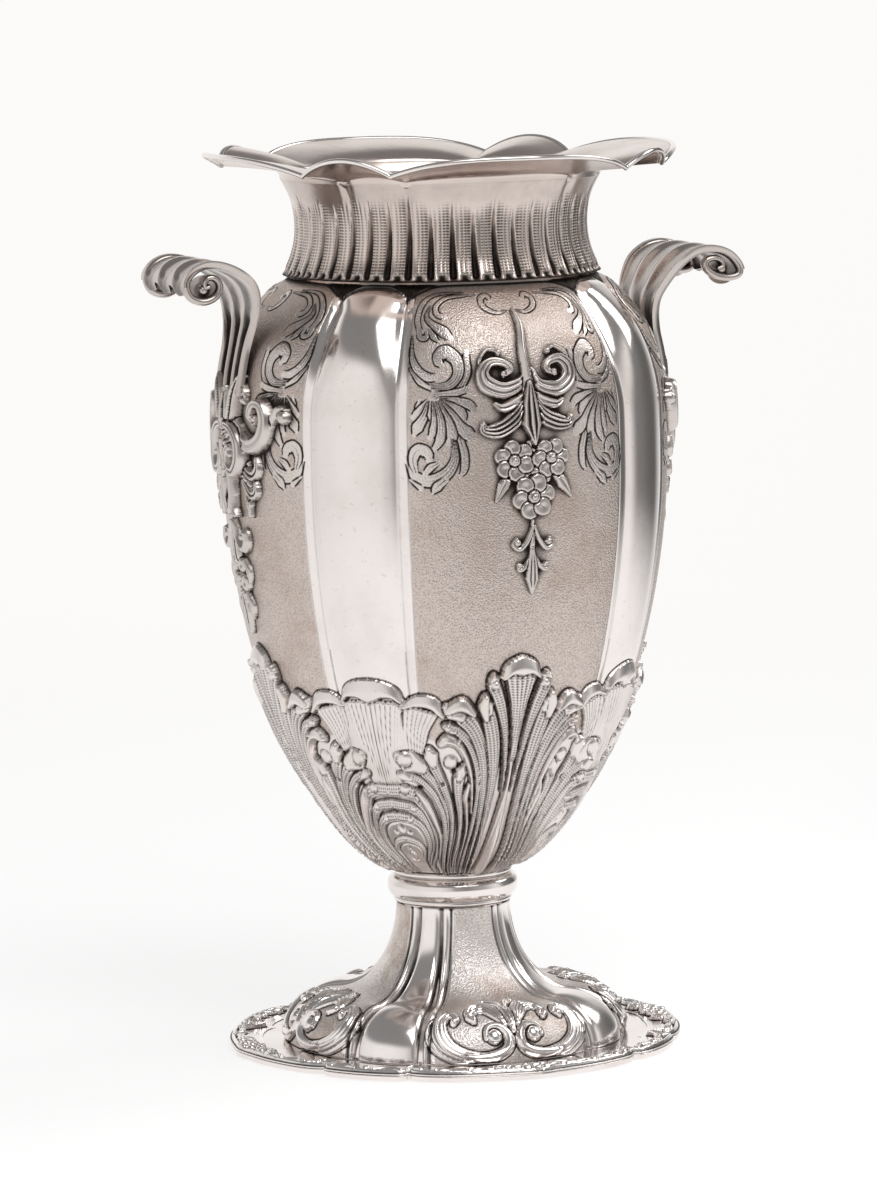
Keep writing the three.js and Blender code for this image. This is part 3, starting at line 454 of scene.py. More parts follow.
class Relief:
    """Heights on a grid of x (across) and y (up), both in mm, built from strokes."""

    def __init__(self, x, y):
        self.x = x
        self.y = y
        self.h, self.bead, self.run, self.dark = np.zeros((4, len(y), len(x)))

    def window(self, path, reach):
        """The rows and columns of the cells round a path, and where these cells lie."""
        i0, i1 = np.searchsorted(self.x, [path[:, 0].min() - reach, path[:, 0].max() + reach])
        j0, j1 = np.searchsorted(self.y, [path[:, 1].min() - reach, path[:, 1].max() + reach])
        return (slice(j0, j1), slice(i0, i1)), *np.meshgrid(self.x[i0:i1], self.y[j0:j1])

    def nearest(self, gx, gy, path):
        """For each cell: distance from a path, the same with its side, way ahead, and the point."""
        cells = np.stack([gx.ravel(), gy.ravel()], 1)
        best = np.full(len(cells), 1e9)
        index = np.zeros(len(cells), int)
        for k, q in enumerate(path):
            d = (cells[:, 0] - q[0]) ** 2 + (cells[:, 1] - q[1]) ** 2
            closer = d < best
            best[closer] = d[closer]
            index[closer] = k
        tangent = tangents(path)[index]
        off = cells - path[index]
        distance = np.sqrt(best)
        side = np.where(tangent[:, 0] * off[:, 1] - tangent[:, 1] * off[:, 0] < 0, -1.0, 1.0) * distance
        ahead = (tangent * off).sum(1)
        return [values.reshape(gx.shape) for values in (distance, side, ahead, index)]

    def raise_to(self, win, top, inside, beyond, cut):
        """Raises the cells inside an edge, and cuts a little away just beyond it."""
        self.h[win] -= cut * np.exp(-0.5 * (beyond / CUT_REACH) ** 2) * (beyond >= 0)
        self.h[win] = np.where(inside, top, self.h[win])

    def sink(self, win, depth, dark, share):
        self.h[win] -= depth * share
        self.dark[win] = np.maximum(self.dark[win], dark * share)

    def stroke(self, points, widths, height, lift=0.0, ribs=0, skew=0.0, bead=0.0, cut=0.0, sharp=0.5,
               rib_depth=0.45, over=True):
        """Raised work along a path, with half widths spread along it."""
        path, share = smooth_path(points)
        half_at = np.maximum(along(widths, share), 0.05)
        win, gx, gy = self.window(path, half_at.max() + 2.2)
        distance, side, ahead, index = self.nearest(gx, gy, path)
        half = half_at[index]
        x = side / half
        lean = np.clip(x + skew * (1 - x * x), -1, 1)
        dome = np.clip(1 - lean**2, 0, 1) ** sharp
        valley = bead
        if ribs:
            ridge = (0.5 + 0.5 * np.cos(math.pi * (x * ribs + (ribs + 1) % 2))) ** 1.5
            dome = dome * (1 - rib_depth + rib_depth * ridge)
            valley = (1 - ridge) * bead
        top = lift + height * dome
        taken = distance < half
        if not over:
            taken &= top >= self.h[win]
        self.raise_to(win, top, taken, distance - half, cut)
        self.dark[win] = np.where(taken, 0, self.dark[win])
        self.bead[win] = np.where(taken, valley, self.bead[win])
        self.run[win] = np.where(taken, distance_along(*path.T)[index] + ahead, self.run[win])

    def groove(self, points, widths, depth, dark):
        """A cut line along a path."""
        path, share = smooth_path(points)
        half_at = np.maximum(along(widths, share), 0.02)
        win, gx, gy = self.window(path, half_at.max() + 1)
        distance, _, _, index = self.nearest(gx, gy, path)
        self.sink(win, depth, dark, np.exp(-((distance / half_at[index]) ** 2) * 1.6))

    def fan(self, left, right, count, height, lift):
        """Fine ribs that run side by side between two edges."""
        a, b = (along_path(smooth_path(edge)[0], 12) for edge in (left, right))
        half_gap = np.linalg.norm(b - a, axis=1) / (2 * count)
        for k in range(count):
            self.stroke(a + (b - a) * (k + 0.5) / count, half_gap * 1.05, height, lift, sharp=0.8, over=False)
        for k in range(count + 1):
            self.groove(a + (b - a) * k / count, [0.55], 0.12, 0.42)

    def ball(self, centre, radius, height, lift=0.0, cut=0.0, power=0.5):
        """A round boss."""
        win, gx, gy = self.window(np.array([centre]), radius + 2)
        d = np.hypot(gx - centre[0], gy - centre[1])
        top = lift + height * np.clip(1 - (d / radius) ** 2, 0, 1) ** power
        self.raise_to(win, top, d < radius, d - radius, cut)
        self.bead[win] = np.where(d < radius, 0, self.bead[win])

    def pit(self, centre, radius, depth, dark=1.0):
        """A drilled or sunk eye."""
        win, gx, gy = self.window(np.array([centre]), radius * 2 + 1)
        d = np.hypot(gx - centre[0], gy - centre[1]) / radius
        self.sink(win, depth, dark, np.exp(-(d**2) * 1.2))

    def cavity(self, reach, scale, fine_share=0.6):
        """How far each cell lies below what is round it, near it and farther off, 0 to 1."""
        cell = abs(self.x[1] - self.x[0])
        low = (blur(self.h, reach / cell) - self.h) / scale
        near = (blur(self.h, FINE_REACH / cell) - self.h) / FINE_SCALE
        return np.clip(np.maximum(low + fine_share * np.maximum(near, 0), self.dark), 0, 1)

    def sample(self, grid, x, y):
        """A grid of this size read at columns x and rows y, and 0 beside and below it."""
        across = np.array([np.interp(x, self.x, row, left=0, right=0) for row in grid])
        return np.array([np.interp(y, self.y, column, left=0) for column in across.T]).T


def along_path(path, count):
    """Points spread along a path by their number."""
    t = np.linspace(0, 1, count)
    return np.stack([along(path[:, k], t) for k in (0, 1)], 1)


class Drawing:
    """Work drawn on a relief from its panel's middle, on each side asked for, in a usual manner."""

    def __init__(self, relief, place, sides=(1,), **usual):
        self.relief = relief
        self.place = place
        self.sides = sides
        self.usual = usual

    def stroke(self, points, widths, height, **more):
        for side in self.sides:
            path = [self.place(x * side, y) for x, y in points]
            self.relief.stroke(path, widths, height, **{**self.usual, **more})

    def ball(self, x, y, radius, height, **more):
        for side in self.sides:
            self.relief.ball(self.place(x * side, y), radius, height, **more)

    def pit(self, x, y, radius, depth, dark=1.0):
        for side in self.sides:
            self.relief.pit(self.place(x * side, y), radius, depth, dark)


class Panel:
    """Places on the body by degrees from a panel's middle and drawn heights, as a flat drawing."""

    def __init__(self, low, high, count, radius):
        self.z_line = np.linspace(low, high, count)
        self.run = distance_along(self.z_line, body_crest(self.z_line))
        self.radius = radius

    def up(self, z):
        return np.interp(z, self.z_line, self.run)

    def heights(self, y):
        return np.interp(y, self.run, self.z_line)

    def at(self, degrees, drawn_z):
        return math.radians(degrees) * self.radius, float(self.up(drawn_z + DRAWING_RISE))

    def down(self, x, below_castings_top):
        return x, float(self.up(MOUTH_Z - CASTINGS_BELOW_MOUTH - below_castings_top))

    def sheet(self, half_width, cell):
        return Relief(np.arange(-half_width, half_width + cell / 2, cell), np.arange(0, self.run[-1], cell))


UPPER_PANEL = Panel(CALYX_TOP - CALYX_OVERLAP, MOUTH_Z, 2000, BELLY_RADIUS)
CALYX_PANEL = Panel(BODY_Z, CALYX_TOP + 1, 3000, DRAWING_RADIUS)
CAST_PANEL = Panel(190.0, MOUTH_Z, 1200, BELLY_RADIUS)


# Meshes


def put_in_scene(name, data):
    obj = bpy.data.objects.new(name, data)
    bpy.context.scene.collection.objects.link(obj)
    return obj


def grid_faces(rows, columns):
    """Quads of a grid of points, row by row."""
    corner = np.arange(rows * columns).reshape(rows, columns)
    quads = [corner[:-1, :-1], corner[:-1, 1:], corner[1:, 1:], corner[1:, :-1]]
    return np.stack(quads, -1).reshape(-1, 4)


def piece(name, points, faces, fields, node, finish, normals=None):
    """A mesh of points in mm that rides on the vase, stands for a node and takes its finish."""
    mesh = bpy.data.meshes.new(name)
    co = (points.reshape(-1, 3) * MM).astype(np.float32)
    mesh.from_pydata(np.ascontiguousarray(co), [], np.ascontiguousarray(faces))
    mesh.polygons.foreach_set("use_smooth", np.ones(len(mesh.polygons), bool))
    for field, values in fields.items():
        attribute = mesh.attributes.new(field, "FLOAT", "POINT")
        attribute.data.foreach_set("value", np.ascontiguousarray(values, np.float32).ravel())
    mesh.update()
    if normals is not None:
        mesh.normals_split_custom_set_from_vertices(normals.reshape(-1, 3).tolist())
    obj = put_in_scene(name, mesh)
    slot, material = finish
    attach(obj, "root")
    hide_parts(node)
    mesh.materials.append(material)


def grid_piece(name, points, fields, node, finish, normals=None):
    """A piece from rows by columns of points."""
    piece(name, points, grid_faces(*points.shape[:2]), fields, node, finish, normals)


def mirrored(half):
    """Columns from the middle of a broad panel outwards, repeated round the whole vase."""
    quarter = np.concatenate([half[:, :0:-1], half], 1)
    return np.concatenate([quarter[:, :-1]] * 4, 1)


def round_angles(half):
    """The angles of the columns that mirrored() makes, starting 45 degrees before the right side."""
    quarter = np.concatenate([-half[:0:-1], half])[:-1]
    return np.concatenate([quarter + 90 * k for k in range(4)])


def on_ring(radius, degrees, z):
    a = np.radians(degrees)
    return np.stack([radius * np.cos(a), radius * np.sin(a), z], -1)


def revolve(prefix, half, radius, height, node, finish, shadow_and_dirt=0, **fields):
    """A surface that closes round the vase, given over half a quarter, cut into four pieces.

    The pieces share their normals at the joints. The extra darkening given all the way round is painted shadow and
    dirt.
    """
    points = on_ring(mirrored(radius), round_angles(half), mirrored(height))
    across = np.roll(points, -1, 1) - np.roll(points, 1, 1)
    normals = np.cross(across, np.gradient(points, axis=0))
    normals /= np.linalg.norm(normals, axis=2)[:, :, None] + 1e-12
    fields = {key: mirrored(np.broadcast_to(values, radius.shape)) for key, values in fields.items()}
    fields["cavity"] = np.clip(fields["cavity"] + shadow_and_dirt, 0, 1)
    columns = points.shape[1] // 4
    for k, side in enumerate(SIDES):
        pick = np.arange(k * columns, (k + 1) * columns + 1) % points.shape[1]
        piece_fields = {key: values[:, pick] for key, values in fields.items()}
        grid_piece(prefix + "_" + side, points[:, pick], piece_fields, node, finish, normals[:, pick])


def raised(degrees, z, height, step=0.5):
    """Radius and height of points moved out from the body along its outline's normal."""
    slope = (body_radius(degrees, z + step) - body_radius(degrees, z - step)) / (2 * step)
    out = 1 / np.sqrt(1 + slope**2)
    return body_radius(degrees, z) + height * out, z - height * out * slope


# Materials


class Nodes:
    """Short calls for building a node tree."""

    def __init__(self, tree):
        self.tree = tree
        tree.nodes.clear()

    def add(self, kind, **values):
        node = self.tree.nodes.new(kind)
        for key, value in values.items():
            setattr(node, key, value)
        return node

    def put(self, socket, value):
        if isinstance(value, bpy.types.NodeSocket):
            self.tree.links.new(value, socket)
        else:
            socket.default_value = value

    def math(self, operation, *values, clamp=False):
        node = self.add("ShaderNodeMath", operation=operation, use_clamp=clamp)
        for socket, value in zip(node.inputs, values):
            self.put(socket, value)
        return node.outputs[0]

    def times(self, a, b):
        return self.math("MULTIPLY", a, b)

    def plus(self, a, b, clamp=False):
        return self.math("ADD", a, b, clamp=clamp)

    def mix(self, factor, a, b):
        node = self.add("ShaderNodeMix", data_type="RGBA")
        self.put(node.inputs["Factor"], factor)
        self.put(node.inputs[6], a)
        self.put(node.inputs[7], b)
        return node.outputs[2]

    def field(self, name):
        return self.add("ShaderNodeAttribute", attribute_name=name).outputs["Fac"]

    def noise(self, vector, scale, detail, roughness):
        node = self.add("ShaderNodeTexNoise")
        values = {"Vector": vector, "Scale": scale, "Detail": detail, "Roughness": roughness}
        for key, value in values.items():
            self.put(node.inputs[key], value)
        return node.outputs["Fac"]

    def ramp(self, value, low, high):
        node = self.add("ShaderNodeMapRange", interpolation_type="SMOOTHSTEP")
        self.put(node.inputs["Value"], value)
        self.put(node.inputs["From Min"], low)
        self.put(node.inputs["From Max"], high)
        return node.outputs["Result"]


def metal(name):
    """A new metallic material: its nodes, its shader and the place on the object."""
    material = bpy.data.materials.new(name)
    material.use_nodes = True
    n = Nodes(material.node_tree)
    out = n.add("ShaderNodeOutputMaterial")
    shader = n.add("ShaderNodeBsdfPrincipled")
    n.put(out.inputs["Surface"], shader.outputs[0])
    n.put(shader.inputs["Metallic"], 1.0)
    return material, n, shader.inputs, n.add("ShaderNodeTexCoord").outputs["Object"]


def matting(n, place, mask):
    """Punched ground where the mask is: its bumps' height and its dark pits."""
    cells = n.add("ShaderNodeTexVoronoi", feature="F1")
    n.put(cells.inputs["Vector"], place)
    n.put(cells.inputs["Scale"], MATTING)
    grit = n.noise(place, GRIT, 2, 0.5)
    bumps = n.plus(cells.outputs["Distance"], n.times(grit, 0.8))
    height = n.times(bumps, n.times(mask, 1.7))
    pits = n.times(n.ramp(bumps, 0.95, 0.55), n.times(mask, 0.42))
    return height, pits


def punched_beads(n):
    """Rows of beads along the strokes: their height and the patina and painted shade round them."""
    bead = n.field("bead")
    beat = n.math("SINE", n.times(n.field("run"), 2 * math.pi / BEAD_PITCH))
    dot = n.times(n.ramp(beat, -0.4, 0.9), bead)
    return dot, n.times(n.math("SUBTRACT", bead, dot, clamp=True), 0.85)


def silver(name, colour, roughness, ground=None, worked=None, speckle=0.5, beaded=False, grain=0.0):
    """Silver with worn tarnish, speckles, recesses darkened by patina and painted shade and, where asked, a matted
    ground.
    """
    material, n, surface, place = metal(name)
    film = n.ramp(n.noise(place, CLOUDS, 4, 0.6), 0.42, 0.72)
    dots = n.ramp(n.noise(place, SPOTS, 2, 0.7), 0.62, 0.74)
    rough = n.math("MULTIPLY_ADD", film, 0.07, roughness)
    if worked:
        leaf = n.field("worked")
        colour = n.mix(leaf, colour, worked)
        rough = n.plus(rough, n.times(leaf, 0.15))
    base = n.mix(n.times(film, 0.22), colour, TARNISH)
    base = n.mix(n.times(dots, speckle * 0.4), base, TARNISH)
    height = n.times(n.noise(place, WAVES, 3, 0.5), grain)
    if ground:
        mask = n.field("matte")
        base = n.mix(mask, base, n.mix(film, ground, TARNISHED_GROUND))
        rough = n.plus(rough, n.times(mask, 0.24))
        bumps, pits = matting(n, place, mask)
        height = n.plus(height, bumps)
        base = n.mix(pits, base, GREY_PATINA)
    if beaded:
        dot, shade = punched_beads(n)
        height = n.plus(height, dot)
        # Patina plus painted shade between the beads
        base = n.mix(shade, base, BEAD_PATINA_AND_SHADE)
    # The cavity field darkens the colour: patina in the hollows, plus painted shade and shadow where the field carries
    # them, as under the rim wire, inside the handles' rolls and round the castings
    depth = n.times(n.math("MULTIPLY_ADD", n.noise(place, DIRT, 3, 0.6), 0.6, 0.75), n.field("cavity"))
    dark = n.ramp(depth, 0.12, 0.95)
    n.put(surface["Base Color"], n.mix(dark, base, PATINA_AND_SHADE))
    n.put(surface["Roughness"], n.plus(rough, n.times(dark, 0.25)))
    bump = n.add("ShaderNodeBump")
    n.put(bump.inputs["Strength"], 1.0)
    n.put(bump.inputs["Distance"], BUMP_HEIGHT)
    n.put(bump.inputs["Height"], height)
    n.put(surface["Normal"], bump.outputs[0])
    return material


def turned_steel(name, colour, roughness):
    """Steel of the fixing inside the foot."""
    material, n, surface, place = metal(name)
    rings = n.noise(place, 300, 3, 0.6)
    n.put(surface["Base Color"], n.mix(rings, colour, TARNISH))
    n.put(surface["Roughness"], n.math("MULTIPLY_ADD", rings, 0.15, roughness))
    return material


STEEL = turned_steel("steel_fixing", (0.45, 0.45, 0.46, 1), 0.3)
POLISHED_SILVER = silver("silver_polished", SILVER, 0.12, beaded=True, grain=0.3)
BODY_SILVER = silver("silver_body", SILVER, 0.13, MATTED_SILVER, WORKED_SILVER, 0.95, beaded=True, grain=0.35)
NECK_SILVER = silver("silver_neck", (0.70, 0.61, 0.565, 1), 0.2, beaded=True, grain=1.6)
# The foot's matted ground is painted lighter, for the brighter surroundings its upward faces reflect
FOOT_SILVER = silver("silver_foot", (0.92, 0.87, 0.85, 1), 0.15, LIT_FOOT_GROUND, grain=0.4)
BORDER_SILVER = silver("silver_border", (0.93, 0.885, 0.865, 1), 0.18, grain=0.5)
CAST_SILVER = silver("silver_cast", (0.64, 0.59, 0.56, 1), 0.24, speckle=0.8)
HANDLE_SILVER = silver("silver_handle", (0.58, 0.525, 0.495, 1), 0.22, MATTED_SILVER, speckle=0.8)

# Finishes: the record's slot and the material
POLISHED = ("silver_polished", POLISHED_SILVER)
MATTED = ("silver_matted", BODY_SILVER)
INSIDE = ("silver_matted", POLISHED_SILVER)
NECK = ("silver_polished", NECK_SILVER)
FOOT = ("silver_polished", FOOT_SILVER)
BORDER = ("silver_cast", BORDER_SILVER)
CAST = ("silver_cast", CAST_SILVER)
HANDLE = ("silver_cast", HANDLE_SILVER)


# Body: the smooth upper part, with matted panels, border strips and engraved foliage


def foliage(relief):
    """Engraved acanthus down the side of a broad panel, each leaf with cut edges and veins."""
    for points, widths, veins in LEAVES:
        path = [UPPER_PANEL.at(*point) for point in points]
        relief.stroke(path, widths, 0.07, lift=0.1)
        curve, share = smooth_path(path)
        reach = sideways(curve) * along(widths, share)[:, None]
        for mark in (-1, 1):
            relief.groove((curve + reach * mark)[::3], *LEAF_EDGE)
        for mark in np.linspace(-1, 1, veins + 2)[1:-1]:
            relief.groove((curve + reach * mark)[: int(len(curve) * VEIN_LENGTH)][::3], *LEAF_VEIN)


def panel_edges(half, mm_per_degree):
    """Where the matted panel lies, the line along its edge, and the groove between panels."""
    matted = smoothstep(STRIP_EDGE - half, 0, 0.4)
    line = hump((half - STRIP_EDGE) * mm_per_degree, EDGE_LINE[0])
    groove = hump((half - BROAD_HALF) * mm_per_degree, PANEL_GROOVE[0])
    relief = STRIP_RISE * (1 - matted) - EDGE_LINE[1] * line - PANEL_GROOVE[1] * groove
    return matted, line, groove, relief


def collar_drop(half):
    """How far below the mouth the lobed collar reaches."""
    broad_share = half / BROAD_HALF
    narrow_share = np.minimum((HALF_QUARTER - half) / NARROW_HALF, 1)
    narrow_drop = 1 - np.sqrt(1 - 0.96 * narrow_share**2)
    return CUSP_DROP * np.where(half <= BROAD_HALF, broad_share**5, narrow_drop) - LOBE_RISE


def upper_body(plaques, mounts):
    middle = np.linspace(0, FOLIAGE_FROM, fine(24) + 1)[:-1]
    engraved = np.linspace(FOLIAGE_FROM, FOLIAGE_TO, fine(118) + 1)[:-1]
    outer = np.linspace(FOLIAGE_TO, HALF_QUARTER, fine(16) + 1)
    half = np.concatenate([middle, engraved, outer])
    start = float(UPPER_PANEL.up(FOLIAGE_BASE))
    end = UPPER_PANEL.run[-1]
    rows = np.concatenate([np.linspace(0, start, fine(44))[:-1], np.linspace(start, end, fine(262))])
    z = UPPER_PANEL.heights(rows)
    x = np.radians(half) * BELLY_RADIUS
    y = UPPER_PANEL.up(z)
    relief = Relief(np.arange(0, DRAWN_WIDTH, FOLIAGE_CELL), np.arange(0, end, FOLIAGE_CELL))
    foliage(relief)
    covered = np.where(relief.h > 0.02, 1.0, 0.0)
    near_leaf = np.clip(2 * relief.sample(blur(covered, 6 / COARSE), x, y), 0, 1)
    bare = 1 - 0.55 * smoothstep(relief.sample(covered, x, y), 0.2, 0.8)
    matted, line, groove, edges = panel_edges(half, UPPER_DEGREE)
    above_collar = z[:, None] - (MOUTH_Z - collar_drop(half))
    collar = smoothstep(above_collar, 0, 0.5)
    arc = hump(above_collar, 0.7)
    h = relief.sample(relief.h, x, y) + edges
    h = h - 1.5 * smoothstep(above_collar, -6, 0) * (1 - collar) - 1.2 * collar - 0.4 * arc
    shoulder = smoothstep(z, MOUTH_Z - 22, MOUTH_Z - 1)[:, None]
    seam = hump(MOUTH_Z - z, 1.1)[:, None]
    drawn = relief.sample(relief.dark, x, y)
    cavity = np.clip(1.25 * drawn + 0.22 * near_leaf * bare + 0.45 * line + 0.5 * groove, 0, 1)
    cavity = np.clip(cavity + shoulder * groove * 0.8 + 0.9 * arc + collar + seam, 0, 1)
    # Painted shadow and dirt round the castings, added to the body's darkening all the way round
    quarter = round_angles(half)[: 2 * len(half) - 2]
    beside_mount = np.maximum(*(halo([drawing], quarter, z) for drawing in mounts.values()))
    beside_plaque = halo(list(plaques.values()), quarter, z)
    shadow_and_dirt = np.hstack([beside_mount, beside_plaque] * 2)
    radius, height = raised(half, z[:, None], h)
    matte = matted * bare * (1 - collar)
    revolve("body_wall", half, radius, height, "body", MATTED, shadow_and_dirt, cavity=cavity, matte=matte)


# Body: the calyx of chased leaves


def calyx_relief(half):
    top = float(CALYX_PANEL.up(CALYX_TOP - CALYX_OVERLAP))
    y = np.linspace(0, top, int(top / CALYX_CELL) + 1)
    relief = Relief(np.radians(half) * DRAWING_RADIUS, y)
    at = CALYX_PANEL.at
    drawing = Drawing(relief, at)
    ball = drawing.ball
    eye = drawing.pit

    def leaf(points, widths, height, lift=1.3, ribs=0, cut=0.8, **more):
        if points[0][1] < LEAF_ROOTS:
            points = [(points[0][0], BODY_Z - DRAWING_RISE + 0.4)] + points
            widths = [widths[0]] + widths
        widths = np.array(widths) * np.linspace(1, TIP_SWELL, len(widths))
        if ribs >= RIBBED:
            more = {"bead": 0.8, "rib_depth": 0.34, **more}
        drawing.stroke(points, widths, height, lift=lift, ribs=ribs, cut=cut, **more)
        if ribs >= RIBBED and HEADS_FROM < points[-1][0] < HEADS_TO:
            end = np.array(at(*points[-1]))
            back = end - np.array(at(*points[-2]))
            back = back / np.linalg.norm(back) * widths[-1]
            head = [end - 1.6 * back, end - 0.2 * back, end + 0.7 * back]
            head_widths = [0.8 * widths[-1], 1.25 * widths[-1], 0.6 * widths[-1]]
            relief.stroke(head, head_widths, 0.9 * height, lift=lift + 0.4, skew=0.3, cut=0.6)

    # the bed that the leaves stand on
    bed = [at(*point) for point in ((0, 168), (9, 160), (18, 152), (24, 148), (30, 150), (36, 155), (45, 160))]
    limit = np.interp(relief.x, *zip(*bed))
    relief.h += 0.9 * smoothstep(limit - relief.y[:, None], 0, 6)

    # the shell on the narrow panel and its side fans: edges, ribs, height and lift
    fans = [
        ([(37, 164), (39, 146), (41, 124)], [(45, 165), (45, 146), (45, 124)], 5, 0.9, 1.1),
        ([(35.4, 164), (36.5, 152), (36.4, 142)], [(37, 164), (38.6, 148), (40.8, 126)], 2, 0.5, 1.5),
        ([(24.4, 159), (27.6, 151), (29.4, 141)], [(35, 163), (35.6, 153), (35.6, 143)], 7, 0.9, 1.0),
    ]
    for left, right, count, height, lift in fans:
        relief.fan([at(*point) for point in left], [at(*point) for point in right], count, height, lift)
    leaf([(35.2, 165.4), (37.4, 169.3), (41, 170.9), (45, 170.3)], [1.0, 2.5, 3.6, 4.9], 1.9,
         lift=0.9, skew=0.5, cut=0.9, sharp=0.6)
    leaf([(22.8, 159.6), (26, 164.8), (30.5, 165.8), (34.8, 163.6)], [1.8, 2.9, 2.6, 1.2], 1.8,
         lift=0.9, skew=0.5, sharp=0.6)

    # palmette under the shell, from the outer arches inwards
    leaf([(33.5, 84), (29, 91), (27.6, 99), (30.3, 109), (33.6, 118.5), (38, 122), (44.4, 122.5)],
         [1.2, 2.2, 2.6, 2.9, 3.2, 3.3, 3.0], 2.2, lift=0.9, ribs=4, skew=0.2, cut=0.6)
    leaf([(34.6, 85), (31, 95), (32.6, 106), (37, 113.4), (44.5, 115.4)], [1.0, 2.2, 2.5, 2.7, 2.7], 2.1,
         lift=0.8, ribs=4)
    leaf([(35.6, 86), (32.6, 95), (34.5, 103.5), (39, 107.6), (44.2, 108.9)], [1.0, 2.2, 2.5, 2.7, 2.6], 2.0,
         lift=0.6, ribs=3)
    leaf([(38, 86), (36.6, 91.5), (39.6, 95.4), (44.2, 97)], [0.8, 1.8, 2.1, 2.1], 1.8, lift=0.4, ribs=3, bead=0.6)
    ball(45, 88, 3.6, 1.2, lift=-0.2, cut=0.8)
    for x, y, radius in ((33.4, 119.4, 2.6), (38.6, 123.4, 2.9), (36.6, 113.8, 2.2), (39.2, 108, 2.0)):
        ball(x, y, radius, 1.9, lift=0.9, cut=0.6)
    for x, y, radius, depth in ((45, 112, 1.6, 2.0), (45, 103, 1.9, 2.0), (45, 92, 1.6, 2.0), (41.3, 101, 1.3, 1.0)):
        eye(x, y, radius, depth)

    # rounded lobes that reach under the shell
    leaf([(26.2, 84), (22.6, 103), (22.9, 114), (25.6, 125.5), (30.8, 134.6), (36, 138.2)],
         [1.0, 1.7, 2.1, 2.9, 3.8, 4.1], 2.5, ribs=4, skew=0.2)
    ball(36.4, 138.6, 4.1, 2.4, lift=1.4, cut=0.6)
    leaf([(27.4, 84), (23.8, 104), (26.8, 119), (32, 127.6), (38, 131)], [0.9, 1.7, 2.1, 2.4, 2.0], 2.2,
         lift=1.2, ribs=3, cut=0.7)
    leaf([(28.6, 86), (26.2, 98.8), (28.2, 108), (31, 116), (33.6, 122)], [0.8, 1.5, 2.2, 2.7, 1.7], 2.1,
         lift=1.4, ribs=1, bead=0.5, cut=0.7, skew=-0.3)
    eye(32.2, 124.6, 1.7, 1.8)
    eye(38.6, 127.4, 1.4, 1.2)

    # side leaves of the broad panel, from the outer ones to the plume
    leaf([(24, 84), (20.6, 102.7), (21, 114), (23.5, 125.5), (26.3, 135), (27.5, 141.4)],
         [0.9, 1.5, 1.8, 2.0, 2.5, 2.6], 2.4, ribs=3)
    leaf([(20.5, 86), (17.6, 98.7), (17.1, 110), (18.1, 121.6), (17.9, 129), (16.7, 133.6)],
         [0.9, 1.4, 1.7, 2.3, 2.8, 2.3], 2.6, ribs=3, bead=0.7)
    leaf([(17, 86), (14.2, 102), (14.6, 113.5), (15.1, 120), (13.9, 125.6)], [0.8, 1.2, 1.5, 2.0, 1.4], 2.2,
         lift=1.4, ribs=1, cut=0.7)
    ball(20.8, 136.6, 3.6, 1.5, lift=0.7, cut=0.5)
    for x, y, radius, depth in ((23.8, 126.6, 1.4, 1.8), (19.9, 132.2, 1.6, 1.6), (13.4, 118.2, 1.3, 1.8)):
        eye(x, y, radius, depth)
    leaf([(12.6, 112), (13.4, 128), (15.5, 139), (18.2, 145.6), (21.4, 147.8), (23.6, 146.2)],
         [0.8, 1.3, 1.8, 2.2, 3.0, 1.9], 2.8, lift=1.4, ribs=1, skew=-0.2)
    leaf([(18, 147.6), (15.9, 149.4), (14.9, 146.2)], [1.0, 1.7, 1.5], 2.6, lift=1.5, cut=0.6)
    eye(14.4, 142.6, 1.3, 1.9)
    leaf([(15.4, 86), (12.1, 102), (10.6, 117.4), (11, 132), (13.9, 144.6), (17.8, 151.8), (21.6, 154.2)],
         [0.9, 1.4, 1.9, 2.1, 2.1, 2.1, 1.8], 2.6, ribs=3)
    ball(21.4, 154, 1.9, 2.5, lift=1.3)
    leaf([(11.6, 86), (9.1, 106), (8.7, 124), (9.9, 139), (12.8, 151.4), (16.4, 158.4), (20.4, 162)],
         [1.0, 1.7, 2.2, 2.6, 3.2, 3.9, 2.8], 2.9, ribs=4, bead=0.9)
    leaf([(13.5, 160.5), (17.2, 164.6), (21.4, 162.2)], [1.4, 3.2, 1.8], 3.0, lift=1.6, cut=0.5, skew=0.3)
    leaf([(8.8, 86), (6.6, 107), (5.9, 128), (6.9, 145), (8.4, 156), (9.7, 164.6)],
         [1.0, 1.8, 2.2, 3.2, 3.3, 2.2], 3.0, ribs=4, bead=0.9)
    leaf([(9.9, 158), (10.7, 163.4), (10.2, 167.6)], [1.6, 2.6, 1.7], 3.1, lift=1.6, cut=0.5)
    leaf([(1.6, 122), (2.5, 138), (3.7, 152), (5.7, 164), (7.7, 172.4), (8.0, 176)],
         [0.7, 1.2, 1.7, 2.4, 2.7, 1.8], 3.1, lift=1.4, ribs=3, bead=0.9)
    ball(7.6, 173.4, 2.4, 3.0, lift=1.5)

    # the plume with its crescent tip, and the polished stem below it
    leaf([(0, 96), (0, 132), (0, 150), (0, 164), (0, 176)], [0.9, 1.3, 2.2, 3.6, 6.0], 2.9,
         lift=1.4, ribs=6, bead=0.9)
    leaf([(5.4, 176.4), (3.2, 180.2), (0, 181.2), (-3.2, 180.2), (-5.4, 176.4)], [1.1, 3.0, 4.4, 3.0, 1.1], 2.6,
         lift=2.0, skew=-0.4, sharp=0.6)
    leaf([(0, 137), (0, 122), (0, 104), (0, 88), (0, 72)], [0.5, 1.4, 3.2, 5.2, 7.0], 2.4,
         lift=1.5, cut=0.7, sharp=0.7)
    relief.h = blur(relief.h, 0.5)
    return relief


